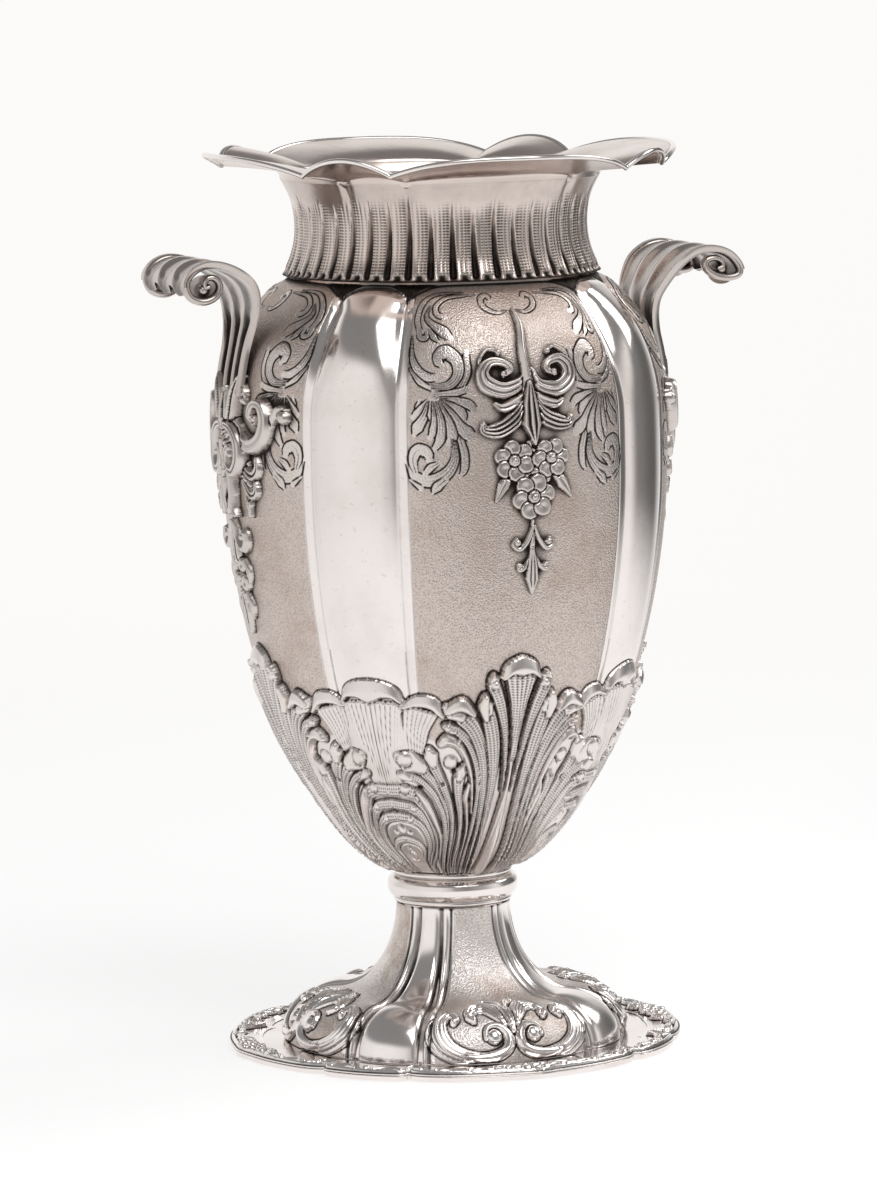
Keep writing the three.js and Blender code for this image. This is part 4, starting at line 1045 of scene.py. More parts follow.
def calyx():
    columns = int(math.radians(HALF_QUARTER) * DRAWING_RADIUS / CALYX_CELL)
    half = np.linspace(0, HALF_QUARTER, columns + 1)
    relief = calyx_relief(half)
    z = CALYX_PANEL.heights(relief.y)[:, None]
    fade = smoothstep(relief.y, 0, 5)[:, None]
    ground = smoothstep(0.35 - relief.h, 0, 0.3)
    matted, line, groove, edges = panel_edges(half, CALYX_DEGREE)
    h = relief.h * fade - CALYX_SINK * fade * smoothstep(155 - z, 0, 50) + ground * edges
    cavity = np.clip(0.78 * relief.cavity(1.3, 1.9, 0.45) + ground * (0.45 * line + 0.5 * groove), 0, 1)
    radius, height = raised(half, z, h)
    fields = {"cavity": cavity, "matte": ground * matted, "worked": 1 - ground, "bead": relief.bead, "run": relief.run}
    revolve("body_calyx", half, radius, height, "body", MATTED, **fields)


def body_lining():
    """The plain inside of the body, closed at the bottom."""
    half = np.linspace(0, HALF_QUARTER, fine(30) + 1)
    turn = BODY_Z + 12
    z = np.concatenate([np.linspace(MOUTH_Z, turn, 70), np.linspace(turn, BODY_Z + 1.5, 12)[1:]])[:, None]
    radius = body_radius(half, z) - LINING_DEPTH
    radius = np.vstack([radius, radius[-1:] * 0.02])
    height = np.vstack([z, z[-1:]]) * np.ones_like(half)
    revolve("body_lining", half, radius, height, "body", INSIDE, cavity=0.35)


# Castings: relief laid on a panel of the body as a piece of its own


def casting(name, node, side, relief):
    """The raised cells of a drawing, on the body, with their edges sunk into it."""
    laid = blur(relief.h, 0.7)
    raised_cells = laid > CAST_EDGE
    degrees = SIDES[side] + np.degrees(relief.x / BELLY_RADIUS)
    z = CAST_PANEL.heights(relief.y)[:, None]
    radius, height = raised(degrees, z, np.where(raised_cells, laid, -SUNK))
    quads = grid_faces(*laid.shape)
    quads = quads[raised_cells.ravel()[quads].any(1)]
    used, faces = np.unique(quads, return_inverse=True)
    points = on_ring(radius, degrees, height).reshape(-1, 3)[used]
    fields = {"cavity": relief.cavity(0.9, 1.1).ravel()[used]}
    piece(name, points, faces.reshape(-1, 4), fields, node, CAST)


def castings(drawings, sides):
    for side in sides:
        for name, relief in drawings.items():
            casting(name + "_relief_" + side, name + "_" + side, side, relief)


def halo(reliefs, degrees, z):
    """Painted shadow and dirt on the body close to castings, for a grid of angles from the panel's middle."""
    laid = np.maximum.reduce([np.where(relief.h > CAST_EDGE, 1.0, 0.0) for relief in reliefs])
    darkening = np.clip(blur(laid, HALO_REACH / CAST_CELL) * 1.5, 0, 1)
    y = np.interp(z, CAST_PANEL.z_line, CAST_PANEL.run, left=-1)
    return reliefs[0].sample(darkening, np.radians(degrees) * BELLY_RADIUS, y)


def blossom(relief, centre, turn, size):
    """An open flower: six overlapping cupped petals with raised rims, and a ringed eye."""
    cx, cy = centre
    for k in range(6):
        a = math.radians(turn) + math.pi * k / 3
        at = (cx + 5.9 * size * math.cos(a), cy + 5.9 * size * math.sin(a))
        relief.ball(at, 3.9 * size, 0.8, lift=1.7, cut=1.2)
        relief.pit(at, 2.4 * size, 0.6, dark=0.1)
        start = (cx + 2.6 * math.cos(a), cy + 2.6 * math.sin(a))
        relief.groove([start, at], [0.3], 0.25, 0.5)
    relief.ball(centre, 2.6 * size, 1.0, lift=2.0, cut=1.2)
    relief.ball(centre, 1.3 * size, 0.7, lift=2.8, cut=0.5)


def leaning(degrees, drawn_z):
    return CAST_PANEL.at(degrees + PLAQUE_LEAN, drawn_z)


def plaque():
    """The stalk with its scrolls and leaves."""
    relief = CAST_PANEL.sheet(27, CAST_CELL)
    drawing = Drawing(relief, leaning, lift=0.7, cut=1.0)
    draw = drawing.stroke
    ball = drawing.ball
    draw([(-12.2, 311), (-12.9, 316.5), (-10.8, 320.6), (-8.2, 320)], [1.3, 1.1, 1.0, 1.0], 1.7, lift=0.6, cut=0)
    ball(-8, 319.4, 1.7, 1.9, lift=0.6, cut=0.5)
    draw([(11, 312), (11.2, 317), (8.4, 320.8), (6, 320)], [1.3, 1.1, 1.0, 1.0], 1.7, lift=0.6, cut=0)
    ball(5.8, 319.2, 1.7, 1.9, lift=0.6, cut=0.5)
    left_scroll = [(-0.9, 310.5), (-2.9, 306.1), (-7.2, 303.6), (-11.4, 306.3), (-12.4, 311.2), (-10.4, 315.2),
                   (-7.2, 315), (-5.2, 312.2), (-7.2, 309.8)]
    right_scroll = [(0.2, 312), (2.0, 305.4), (6.6, 303.3), (10.3, 306.8), (10.9, 312), (8.6, 315.6),
                    (5.6, 314.6), (4.6, 311.6), (6.8, 309.8)]
    for scroll in (left_scroll, right_scroll):
        draw(scroll, [1.4, 3.0, 4.2, 4.3, 3.3, 2.5, 2.1, 1.8, 1.5], 3.1, ribs=3, rib_depth=0.32, skew=0.2)
    for x in (-7.2, 6.6):
        ball(x, 310.4, 1.5, 2.4, lift=0.8, cut=0.5)
    small_leaves = [
        [(-1.6, 301.6), (-4.2, 297.8), (-7.6, 295.8), (-9.6, 297.6)],
        [(0.8, 301.6), (3.4, 298), (6.6, 296.6), (8.4, 298.2)],
    ]
    for points in small_leaves:
        draw(points, [1.4, 3.0, 2.4, 1.2], 2.4, ribs=2, cut=0.8)
    large_leaves = [
        [(-1.5, 298.5), (-4.5, 290.8), (-8.7, 286.2), (-12.1, 286.4), (-12.7, 289)],
        [(0.6, 298.5), (2.9, 292), (6.7, 288.6), (9.9, 288.2), (10.6, 290.6)],
    ]
    for points in large_leaves:
        draw(points, [1.6, 3.9, 4.0, 2.7, 1.5], 2.8, lift=0.6, ribs=4, rib_depth=0.5)
    stalk = [(-1.6, 336.6), (-0.6, 330), (-1.2, 320.6), (-1.0, 312), (-0.6, 303)]
    draw(stalk, [0.9, 1.9, 2.3, 2.6, 3.0], 2.6, lift=0.9, ribs=1, cut=0.9)
    draw([(-0.6, 306), (-0.5, 297), (-0.2, 288), (0.3, 279.6)], [1.3, 3.6, 4.6, 0.8], 3.0, lift=1.3, ribs=3)
    return relief


def flower_cluster():
    relief = CAST_PANEL.sheet(27, CAST_CELL)
    draw = Drawing(relief, leaning).stroke
    draw([(-5.5, 268), (-7.8, 261.6), (-9.8, 255)], [1.6, 2.9, 0.7], 1.6, lift=0.5, ribs=2)
    draw([(5.4, 268), (8.2, 261.8), (10.4, 255.8)], [1.6, 2.9, 0.7], 1.6, lift=0.5, ribs=2)
    draw([(-1, 280), (-0.6, 268), (0, 258)], [1.2, 2.6, 2.6], 1.0, lift=0.4)
    x, y = leaning(-0.2, 268)
    relief.ball((x, y), 9.5, 0.8, lift=1.0, power=0.4)
    for across, down in ((-1.2, -4.4), (2.6, 1.2), (-4.6, 4.0), (0.6, 5.4)):
        relief.ball((x + across, y - down), 3.3, 0.8, lift=1.5, cut=1.0)
    blossom(relief, leaning(-5.0, 272.6), 40, 0.96)
    blossom(relief, leaning(4.8, 273.2), 5, 0.92)
    blossom(relief, leaning(0, 256.4), 12, 1.05)
    return relief


def plaque_drop():
    relief = CAST_PANEL.sheet(27, CAST_CELL)
    draw = Drawing(relief, leaning).stroke
    draw([(-0.3, 246), (-0.3, 240), (-0.3, 233)], [0.8, 1.1, 1.5], 1.8, lift=0.6)
    for side in (1, -1):
        curl = Drawing(relief, leaning, (side,), lift=0.6, cut=0.4)
        curl.stroke([(0.2, 243.6), (1.6, 237.4), (3.6, 233.6), (5.2, 235.6), (4.4, 238)], [0.8, 1.3, 1.5, 1.4, 1.0], 1.8)
        curl.ball(4.2, 236.4, 1.7, 2.0, lift=0.6, cut=0.4)
        curl.stroke([(0.3, 231), (1.9, 226), (3.5, 224.2), (3.9, 226.8)], [0.8, 1.3, 1.3, 0.9], 1.6)
        curl.ball(3.4, 226.4, 1.2, 1.7, lift=0.6)
    draw([(-0.3, 233.4), (-0.1, 226), (0, 220), (0, 213.4)], [1.2, 2.6, 3.3, 0.6], 2.0, lift=0.7, ribs=3, cut=0.5)
    return relief


def handle_mount():
    """The scrolls, volutes and leaves under a handle, by mm from its middle and down."""
    relief = CAST_PANEL.sheet(50, CAST_CELL * 1.15)
    drawing = Drawing(relief, CAST_PANEL.down, (1, -1), lift=0.8, cut=0.9)
    draw = drawing.stroke
    ball = drawing.ball
    draw([(4, 44.6), (10, 41.5), (15, 43.5), (16, 48)], [2.0, 2.9, 2.4, 1.4], 3.4, ribs=2, cut=0.8)
    ball(15.4, 47, 1.9, 3.2, lift=0.8, cut=0.5)
    draw([(10, 63), (15, 75), (18, 86), (19.6, 98)], [2.6, 3.8, 3.0, 0.9], 3.4, ribs=3)
    draw([(14, 76), (22, 80), (26.5, 77), (26, 72)], [1.8, 3.0, 2.4, 1.1], 3.0, ribs=2)
    draw([(15, 83), (21, 88.6), (25, 87), (24.8, 83)], [1.6, 2.6, 2.1, 1.0], 2.8, ribs=2)
    draw([(33, 60), (37, 54.6), (41.5, 50), (45, 50.4)], [2.4, 2.3, 2.6, 1.8], 3.6)
    ball(44.4, 53, 3.2, 4.2, lift=0.9, cut=0.8)
    scroll = [(3, 51), (9, 58.5), (16, 64.6), (24, 66.4), (31, 62.5), (33.6, 55), (31, 48.6), (25.6, 48.4),
              (23.6, 52.6), (26.4, 56)]
    draw(scroll, [2.6, 3.6, 4.2, 4.5, 4.2, 3.6, 3.0, 2.4, 2.1, 1.6], 5.2, ribs=2, rib_depth=0.22, cut=1.2)
    ball(27, 54.4, 2.0, 4.4, lift=1.0, cut=0.8)
    draw([(0, 74), (0, 84), (0, 98)], [3.5, 6.2, 1.0], 5.4, ribs=3, rib_depth=0.4)
    draw([(0, 55), (0, 66), (0, 78)], [4.5, 8.0, 3.0], 6.6, ribs=5, rib_depth=0.4)
    draw([(3, 63), (6.5, 53), (9, 44), (13, 37)], [2.4, 3.8, 3.2, 1.0], 6.4, ribs=3, rib_depth=0.4)
    draw([(0, 60), (0, 52), (0, 42)], [3.6, 4.2, 1.0], 6.9, ribs=3, rib_depth=0.4)
    volute = [(3, 58.5), (9, 60), (14.2, 65.6), (14.6, 73.4), (10, 79), (4.6, 77), (3.4, 71.6), (6.4, 68.2), (9.4, 71)]
    draw(volute, [2.2, 2.9, 3.2, 3.2, 3.0, 2.7, 2.3, 2.0, 1.6], 5.6, lift=1.6, ribs=2, rib_depth=0.25, cut=1.3)
    ball(8.6, 71.4, 2.0, 5.2, lift=1.6, cut=0.8)
    draw([(2.6, 79), (4.4, 87), (4.8, 95), (7.6, 99)], [1.8, 2.2, 1.7, 0.7], 4.2, lift=1.0, ribs=1, cut=0.8)
    return relief


def handle_pendant():
    """The scrolls, bud and leaf that hang from the mount, by mm from its middle and down."""
    relief = CAST_PANEL.sheet(18, CAST_CELL)
    drawing = Drawing(relief, CAST_PANEL.down, (1, -1), lift=0.8)
    draw = drawing.stroke
    ball = drawing.ball
    draw([(0, 100), (0, 108), (0, 120)], [1.5, 2.4, 2.9], 3.0, ribs=3)
    draw([(1, 101.6), (4.4, 109.6), (9, 113.6), (13, 110.6), (12.2, 106), (9, 106.4)],
         [1.4, 2.1, 2.5, 2.3, 1.9, 1.3], 3.2, ribs=1, cut=0.9)
    ball(10, 108.2, 2.0, 3.2, lift=0.9, cut=0.5)
    for x, down, radius in ((4.6, 121.4, 3.4), (5.6, 129.4, 3.9), (2.6, 136.4, 3.3)):
        ball(x, down, radius, 2.7, lift=0.9, cut=0.9, power=0.4)
        drawing.pit(x + 0.4, down + 0.3, 1.5, 1.0, dark=0.5)
    draw([(7.4, 119), (10.4, 124), (10, 129)], [1.0, 2.2, 0.7], 2.2, lift=0.7, ribs=2, cut=0.6)
    draw([(5.4, 135), (7.4, 140), (6, 145.6)], [1.0, 2.3, 0.6], 2.2, lift=0.7, ribs=2, cut=0.6)
    ball(0, 127, 2.4, 3.0, lift=1.2, cut=0.8)
    draw([(0, 136), (0, 143), (0, 152.6)], [1.8, 4.0, 0.6], 2.8, ribs=3, cut=0.7)
    return relief


# Neck: fluted and beaded wall, flared petals and the plain inside


def neck_relief(half, z):
    """Heights, dirt and bead columns of the neck's wall for half a quarter of it."""
    flutes = np.array(FLUTES)
    tops = np.array(FLUTE_TOPS)
    left = np.clip(np.searchsorted(flutes, half, side="right") - 1, 0, len(flutes) - 2)
    u = (half - flutes[left]) / (flutes[left + 1] - flutes[left])
    near = np.where(u < 0.5, left, left + 1)
    distance = np.abs(np.radians(half - flutes[near])) * THROAT_RADIUS
    up = (z - NECK_Z)[:, None]
    t = np.clip(up / tops[near], 0, 1)
    width = FLUTE_HALF_WIDTH * (1 - t**1.6) + 0.05
    trough = np.clip(1 - (distance / width) ** 2, 0, 1) ** 0.7 * (1 - t) ** 0.5
    trough = trough * smoothstep(up, 0.4, 2.0)
    rib_top = tops[left] * (1 - u) + tops[left + 1] * u
    fade = 1 - smoothstep(up, rib_top - 8, rib_top)
    comb = (0.5 + 0.5 * np.cos(2 * math.pi * BEAD_COLUMNS * u)) * smoothstep(0.5 - np.abs(u - 0.5), 0.06, 0.14)
    ladder = hump(u - 0.24, 0.09)
    plain = hump(u - 0.72, 0.1)
    beads = np.clip(comb * (1 - plain) * (1 - ladder) + ladder, 0, 1) * fade * smoothstep(up, 1.5, 4)
    foot = hump((u - 0.5) * FLUTE_SPACING, 1.7) * hump(up - 1.7, 1.25)
    crown = 0.4 * (1 - (2 * u - 1) ** 2) * (1 - smoothstep(up, 20, 34))
    h = crown - FLUTE_DEPTH * trough + 0.2 * beads - 1.5 * foot
    edge = 1 - smoothstep(up, 0.3, 1.3)
    wall_dirt = 0.22 * (1 - smoothstep(up, 4, 12)) + 0.31 * smoothstep(up, 24, 38)
    darkening = np.clip(0.8 * smoothstep(trough, 0.05, 0.8) + 0.8 * foot + 0.12 * beads + 0.7 * edge + wall_dirt, 0, 1)
    return h, darkening, beads


def neck():
    half = np.linspace(0, HALF_QUARTER, fine(160) + 1)
    fluted_top = NECK_Z + FLUTED_HEIGHT
    z = np.concatenate([np.linspace(NECK_Z, fluted_top, fine(96)), np.linspace(fluted_top, FLARE_Z, fine(18))[1:]])
    h, darkening, beads = neck_relief(half, z)
    crease = NECK_CREASE * hump(np.radians(half - BROAD_HALF) * THROAT_RADIUS, 2.2)
    wall_r = neck_radius(z)[:, None] + h - crease * smoothstep(z - NECK_Z, 26, 40)[:, None]
    wall_z = np.tile(z[:, None], (1, len(half)))
    edge_r, edge_z = petal_edge(half)
    share = np.linspace(0, 1, fine(40))[1:, None] ** 1.25
    flare_r = mix(FLARE_START_RADIUS - crease * (1 - share), edge_r, share)
    flare_z = mix(FLARE_Z, edge_z, share**0.38)
    inner_z = np.linspace(FLARE_Z, NECK_Z, 30)[:, None] * np.ones_like(half)
    inner_r = neck_radius(inner_z) - NECK_THICKNESS * smoothstep(FLARE_Z - inner_z, -2, 8)
    seat_r = np.full_like(half, BODY_MOUTH_RADIUS - 0.6)
    seat_z = np.full_like(half, NECK_Z - 0.2)
    radius = np.vstack([seat_r, wall_r, flare_r, flare_r[::-1], inner_r])
    height = np.vstack([seat_z, wall_z, flare_z, flare_z[::-1] + 1, inner_z])
    beyond_wall = ((1, len(radius) - len(z) - 1), (0, 0))
    fields = {"cavity": np.pad(darkening, beyond_wall), "bead": np.pad(beads, beyond_wall), "run": height}
    revolve("neck_wall", half, radius, height, "neck", NECK, **fields)


def rim_wire():
    half = np.linspace(0, HALF_QUARTER, fine(90) + 1)
    edge_r, edge_z = petal_edge(half)
    turn = np.linspace(-math.pi, math.pi, 17)[:, None]
    radius = edge_r + WIRE_OFFSET[0] + WIRE_SIZE[0] * np.cos(turn)
    height = edge_z + WIRE_OFFSET[1] + WIRE_SIZE[1] * np.sin(turn)
    # Painted shade: the wire's lower side is darkened through the cavity field
    under = np.clip(-np.sin(turn) - 0.2, 0, 1)
    revolve("rim_wire", half, radius, height, "rim_wire", POLISHED, cavity=under * 0.7)


# Knop and pedestal foot


def knop():
    curve, share = smooth_path(KNOP_OUTLINE, 0.25)
    half = np.linspace(0, HALF_QUARTER, fine(36) + 1)
    radius = curve[:, :1] * np.ones_like(half)
    height = (KNOP_Z + curve[:, 1:]) * np.ones_like(half)
    revolve("knop", half, radius, height, "knop_ring", POLISHED, cavity=along(KNOP_DIRT, share)[:, None])


def foot_relief(half, run_length):
    """C-scrolls and palmette low on a broad panel of the foot; across at the dome's radius, up its arc."""
    relief = Relief(np.radians(half) * DOME_RADIUS, np.arange(0, run_length, FOOT_CELL))
    draw = relief.stroke
    ball = relief.ball
    # leaf lines outside the scroll
    outer = [(19, 1.4), (29, 2.2), (37, 7.2), (40.4, 15), (39, 23.4)]
    draw(outer, [0.8, 1.8, 2.4, 2.4, 1.2], 1.0, lift=0.3, ribs=3, cut=0.3)
    # the scroll: its ribbed outer head, then its smooth band with a ball at the inner end
    head = [(16, 3.0), (24.6, 4.2), (32, 8.2), (35.8, 14.4), (35.6, 21.2), (31.8, 24.8), (28.0, 22.4), (29.0, 19.4)]
    draw(head, [2.0, 2.9, 3.8, 4.1, 3.6, 2.8, 2.2, 1.6], 1.9, lift=0.3, ribs=4, rib_depth=0.35, cut=0.4)
    ball((28.8, 20.4), 2.0, 1.9, lift=0.4, cut=0.3)
    band = [(13.6, 11.4), (12.2, 16.0), (6.8, 16.8), (3.0, 12.4), (3.6, 6.8), (9, 3.4), (17, 2.7), (22.6, 3.6)]
    draw(band, [1.3, 1.9, 2.3, 2.5, 2.6, 2.6, 2.2, 1.0], 1.8, lift=0.4, ribs=1, rib_depth=0.3, cut=0.5)
    ball((9.8, 11.8), 3.6, 2.3, lift=0.4, cut=0.5)
    # three lobes of the palmette and its crown
    fan = [(3, 17.6), (6, 24.4), (11.4, 30.4), (17.4, 29.8), (20.2, 25.4), (18.8, 21.8)]
    draw(fan, [1.4, 3.8, 5.2, 4.6, 3.2, 1.6], 1.8, lift=0.3, ribs=5, rib_depth=0.5, cut=0.5)
    draw([(18.4, 26.4), (21.4, 22.8), (18.6, 19.6)], [1.2, 1.7, 1.2], 1.8, lift=0.4, cut=0.3)
    draw([(0, 14), (0, 22), (0, 29), (0, 35)], [1.2, 3.0, 3.6, 1.2], 2.1, lift=0.4, ribs=3, rib_depth=0.5, cut=0.5)
    crown = [(0.6, 27), (3.6, 34.4), (8.4, 38.4), (12.0, 37.4)]
    draw(crown, [0.8, 2.2, 2.4, 1.2], 1.8, lift=0.4, ribs=2, rib_depth=0.4, cut=0.4)
    ball((11.4, 35.6), 1.1, 1.6, lift=0.4, cut=0.3)
    relief.h = blur(relief.h, 0.6)
    return relief


def foot_dome():
    half = np.linspace(0, HALF_QUARTER, fine(150) + 1)
    turn_line = np.linspace(2, 0, 2000)
    r_line, z_line = foot_point(turn_line)
    run = distance_along(r_line, z_line)
    relief = foot_relief(half, run[-1])
    turn = np.interp(relief.y, run, turn_line)[:, None]
    radius = np.interp(relief.y, run, r_line)[:, None]
    height = np.interp(relief.y, run, z_line)[:, None]
    near = 0.01
    above = np.array(foot_point(turn - near))
    below = np.array(foot_point(turn + near))
    length = np.hypot(*(above - below))
    out = (above[1] - below[1]) / length
    up = (below[0] - above[0]) / length
    broad, share = across_panel(half)
    lobe = -LOBE_DEPTH * smoothstep(turn, 0.1, 1.4) * share ** np.where(broad, 8, 3)
    d = np.radians(half - BROAD_HALF) * radius
    strength = 0.55 + 0.45 * smoothstep(turn, 0.1, 0.8)
    groove = hump(d, GROOVE_WIDTH)
    rib = hump(d + RIB_OFFSET, GROOVE_WIDTH)
    second = hump(d + SECOND_OFFSET, 0.6)
    belly = smoothstep(d, 0.7, 3.4)
    h = lobe + strength * (1.0 * rib - 2.1 * groove - 0.8 * second + 0.9 * belly) + relief.h
    panel_edge = 4.6 + 2.2 * radius / DOME_RADIUS
    inside = smoothstep(-d, panel_edge, panel_edge + 0.6)
    matte = inside * (1 - smoothstep(relief.h, 0.1, 0.5))
    lines = 1.1 * hump(d, 1.2) * strength + 0.8 * hump(d + 4.6, 0.8)
    top_rows = smoothstep(np.arange(len(relief.y)), len(relief.y) - 5, len(relief.y))[:, None]
    cavity = np.clip(0.85 * relief.cavity(1.2, 1.1) + lines, 0, 1) + 0.5 * top_rows
    inner_turn = np.linspace(0.02, 2, 24)[:, None]
    inner_r, inner_z = foot_point(inner_turn)
    inner_r = inner_r - DOME_SHEET[0]
    inner_z = inner_z - DOME_SHEET[1] * smoothstep(inner_turn, 0.3, 1)
    ones = np.ones_like(half)
    radius = np.vstack([inner_r * ones, radius + h * out])
    height = np.maximum(np.vstack([inner_z * ones, height + h * up]), DOME_BASE)
    before = ((len(inner_turn), 0), (0, 0))
    fields = {"cavity": np.pad(cavity, before), "matte": np.pad(matte, before)}
    revolve("foot_dome", half, radius, height, "foot_dome", FOOT, **fields)


def border_relief(half):
    """Cast ornament on the foot's border: across at the plate's radius, inwards from its edge."""
    relief = Relief(np.radians(half) * PLATE_RADIUS, np.arange(0, BORDER_DEPTH, BORDER_CELL))
    end = relief.x[-1]
    relief.stroke([(-4, 1.5), (end / 2, 1.5), (end + 4, 1.5)], [1.0], 1.5, lift=0.5)
    relief.stroke([(14, 3.6), (end / 2, 3.6), (end - 12, 3.6)], [0.5], 0.7, lift=0.3)
    relief.ball((0, 6.2), 2.9, 3.0, lift=0.6, cut=0.8)
    relief.pit((0, 6.2), 0.9, 1.0, 0.7)
    petals = [(4.9, 4.0, 2.5), (4.6, 8.8, 2.4), (9.4, 6.0, 2.7), (0, 10.8, 2.0), (0, 2.2, 2.0), (13.6, 4.2, 2.0)]
    for x, y, radius in petals:
        relief.ball((x, y), radius, 2.5, lift=0.6, cut=0.7, power=0.4)
        relief.pit((x + 0.2, y), 0.8, 0.8, 0.6)
    sprays = [
        ([(11, 8.8), (15.4, 9.2), (19.6, 6.4), (21, 3)], [1.2, 2.1, 1.7, 0.9], 2.3, 2),
        ([(17, 5.0), (21.4, 4.2), (27, 5.0), (31, 2.6)], [1.2, 2.0, 1.9, 0.8], 2.2, 2),
        ([(34, 2.8), (40, 5.2), (46, 3.2)], [0.8, 1.9, 0.8], 1.9, 2),
        ([(48.6, 2.6), (53.6, 6.6), (58.8, 7.4), (62.2, 3.4)], [1.0, 2.1, 2.5, 1.0], 2.4, 3),
        ([(63.4, 2.8), (68, 6.0), (73, 5.6), (76.4, 2.8)], [1.0, 2.2, 2.0, 0.9], 2.3, 2),
    ]
    for points, widths, height, ribs in sprays:
        relief.stroke(points, widths, height, lift=0.5, ribs=ribs, cut=0.5)
    for x, y, radius in ((31.4, 3.4, 1.6), (54.4, 3.8, 1.7), (end, 5.0, 2.5), (47.0, 3.4, 1.3)):
        relief.ball((x, y), radius, 2.2, lift=0.5, cut=0.5)
    relief.h = blur(relief.h, 0.6)
    return relief


def foot_plate():
    """The plate, then the border that stands on it."""
    half = np.linspace(0, HALF_QUARTER, fine(190) + 1)
    edge = plate_edge(half)
    ones = np.ones_like(edge)
    top = PLATE_THICKNESS
    inset = np.array([30.0, 4.0, 1.0, 0.35, 0.1, 0, 0, 0.15, 12.0])[:, None]
    level = np.array([0.05, 0.05, 0.05, 0.25, 0.8, 1.6, 2.2, top, top, top])[:, None]
    radius = np.vstack([edge - inset, PLATE_HOLE_RADIUS * ones])
    revolve("foot_plate", half, radius, level * ones, "foot_plate", POLISHED, cavity=0.12)

    relief = border_relief(half)
    depth = relief.y[:, None]
    face = top + 0.25 + 0.35 * smoothstep(11 - depth, 0, 3) + relief.h
    wall_inset = np.array([1.2, 0.15, 0.0, 0.1])[:, None]
    wall_z = top + np.array([0.1, 0.1, 0.5, 1.0])[:, None] * ones
    radius = edge - np.vstack([wall_inset, 0.35 + depth])
    darkening = np.vstack([np.full_like(wall_z, 0.2), relief.cavity(1.0, 1.1)])
    revolve("foot_border", half, radius, np.vstack([wall_z, face]), "foot_border", BORDER, cavity=darkening)


# Handles: a fluted band that rolls over, with a thick volute along each edge


def outline_frames(outline):
    """Points along a handle's outline, the way out of it, and how far along it each lies."""
    curve, _ = smooth_path(outline, 0.35 * COARSE)
    out = sideways(curve) * (1.0 if outline[0][0] > 0 else -1.0)
    run = distance_along(*curve.T)
    return curve, out, run / run[-1]


def band_half_width(t):
    return mix(HANDLE_STEM_WIDTH, HANDLE_ROLL_WIDTH, smoothstep(t, 0.12, 0.42)) / 2


def there_and_back(over, under):
    """Columns over the band, then back under it, closed."""
    return np.concatenate([over, under[:, ::-1], over[:, :1]], 1)


def handle_band(side, outline):
    curve, out, t = outline_frames(outline)
    a = np.linspace(-1, 1, fine(120) + 1)[None, :]
    wave = np.cos(HANDLE_RIDGES * math.pi * a)
    down_band = np.linspace(0, 1, fine(260))[:, None]
    along_band = down_band * (BAND_END + 0.04 * (0.5 + 0.5 * wave))
    x, z = (np.interp(along_band, t, curve[:, k]) for k in (0, 1))
    ox, oz = (np.interp(along_band, t, out[:, k]) for k in (0, 1))
    y = a * band_half_width(along_band)
    hollow = 1 - (0.5 - 0.5 * wave) ** 2.2
    on_stem = 1 - smoothstep(along_band, 0.2, 0.27)
    on_roll = smoothstep(along_band, 0.22, 0.34)
    lip = smoothstep(down_band, 0.9, 0.97) * (1 - smoothstep(down_band, 0.985, 1))
    top = -hollow * on_roll * (1.7 - 1.9 * lip)
    stipple = 0.12 * np.cos(20 * math.pi * a) * hollow * on_stem
    thick = BAND_THICKNESS - 2.0 * smoothstep(down_band, 0.75, 1.0)
    under = -thick + hollow * (1.7 * on_stem - 0.7 * on_roll) + stipple
    faces = [np.stack([x + ox * rise, y, z + oz * rise], -1) for rise in (top, under)]
    streaks = 0.2 * (0.5 + 0.5 * np.cos(22 * math.pi * a)) * (1 - on_roll)
    over_dirt = hollow * (0.62 - 0.3 * on_roll + 0.3 * lip) + streaks
    under_dirt = hollow * (0.62 + 0.38 * on_stem) + streaks
    points = there_and_back(*faces)
    darkening = there_and_back(over_dirt, under_dirt)
    matte = there_and_back(np.zeros_like(over_dirt), hollow * on_stem)
    if side == "right":
        points, darkening, matte = (grid[:, ::-1] for grid in (points, darkening, matte))
    fields = {"cavity": np.clip(darkening, 0, 1), "matte": matte}
    grid_piece("handle_band_" + side, points, fields, "handle_" + side, HANDLE)


def handle_volute(side, outline, edge, edge_name):
    """The thick rolled edge of the band: a rib up the stem that ends in a spiral."""
    curve, out, t = outline_frames(outline)
    wide = mix(0.9, 2.4, smoothstep(t, 0.2, 0.5))[:, None]
    deep = mix(1.7, 1.8, smoothstep(t, 0.25, 0.5)) * (1 - 0.3 * smoothstep(t, 0.8, 1.0))
    angle = np.linspace(0, 2 * math.pi, 25)
    rise = deep[:, None] * (np.sin(angle) - 1)
    y = edge * (band_half_width(t)[:, None] - wide) + wide * np.cos(angle)
    tube = np.stack([curve[:, :1] + out[:, :1] * rise, y, curve[:, 1:] + out[:, 1:] * rise], -1)
    # Painted shade: on the roll, the side of the rolled edge that faces into the curl is darkened
    darkening = 0.8 * np.clip(-np.sin(angle), 0, 1) * smoothstep(t, 0.3, 0.5)[:, None]
    first, last = (np.broadcast_to(tube[k].mean(0), (1, len(angle), 3)) for k in (0, -1))
    tube = np.concatenate([first, tube, last])
    darkening = np.vstack([darkening[:1], darkening, darkening[-1:]])
    if side == "left":
        tube, darkening = tube[:, ::-1], darkening[:, ::-1]
    grid_piece("handle_volute_" + side + edge_name, tube, {"cavity": darkening}, "handle_" + side, HANDLE)


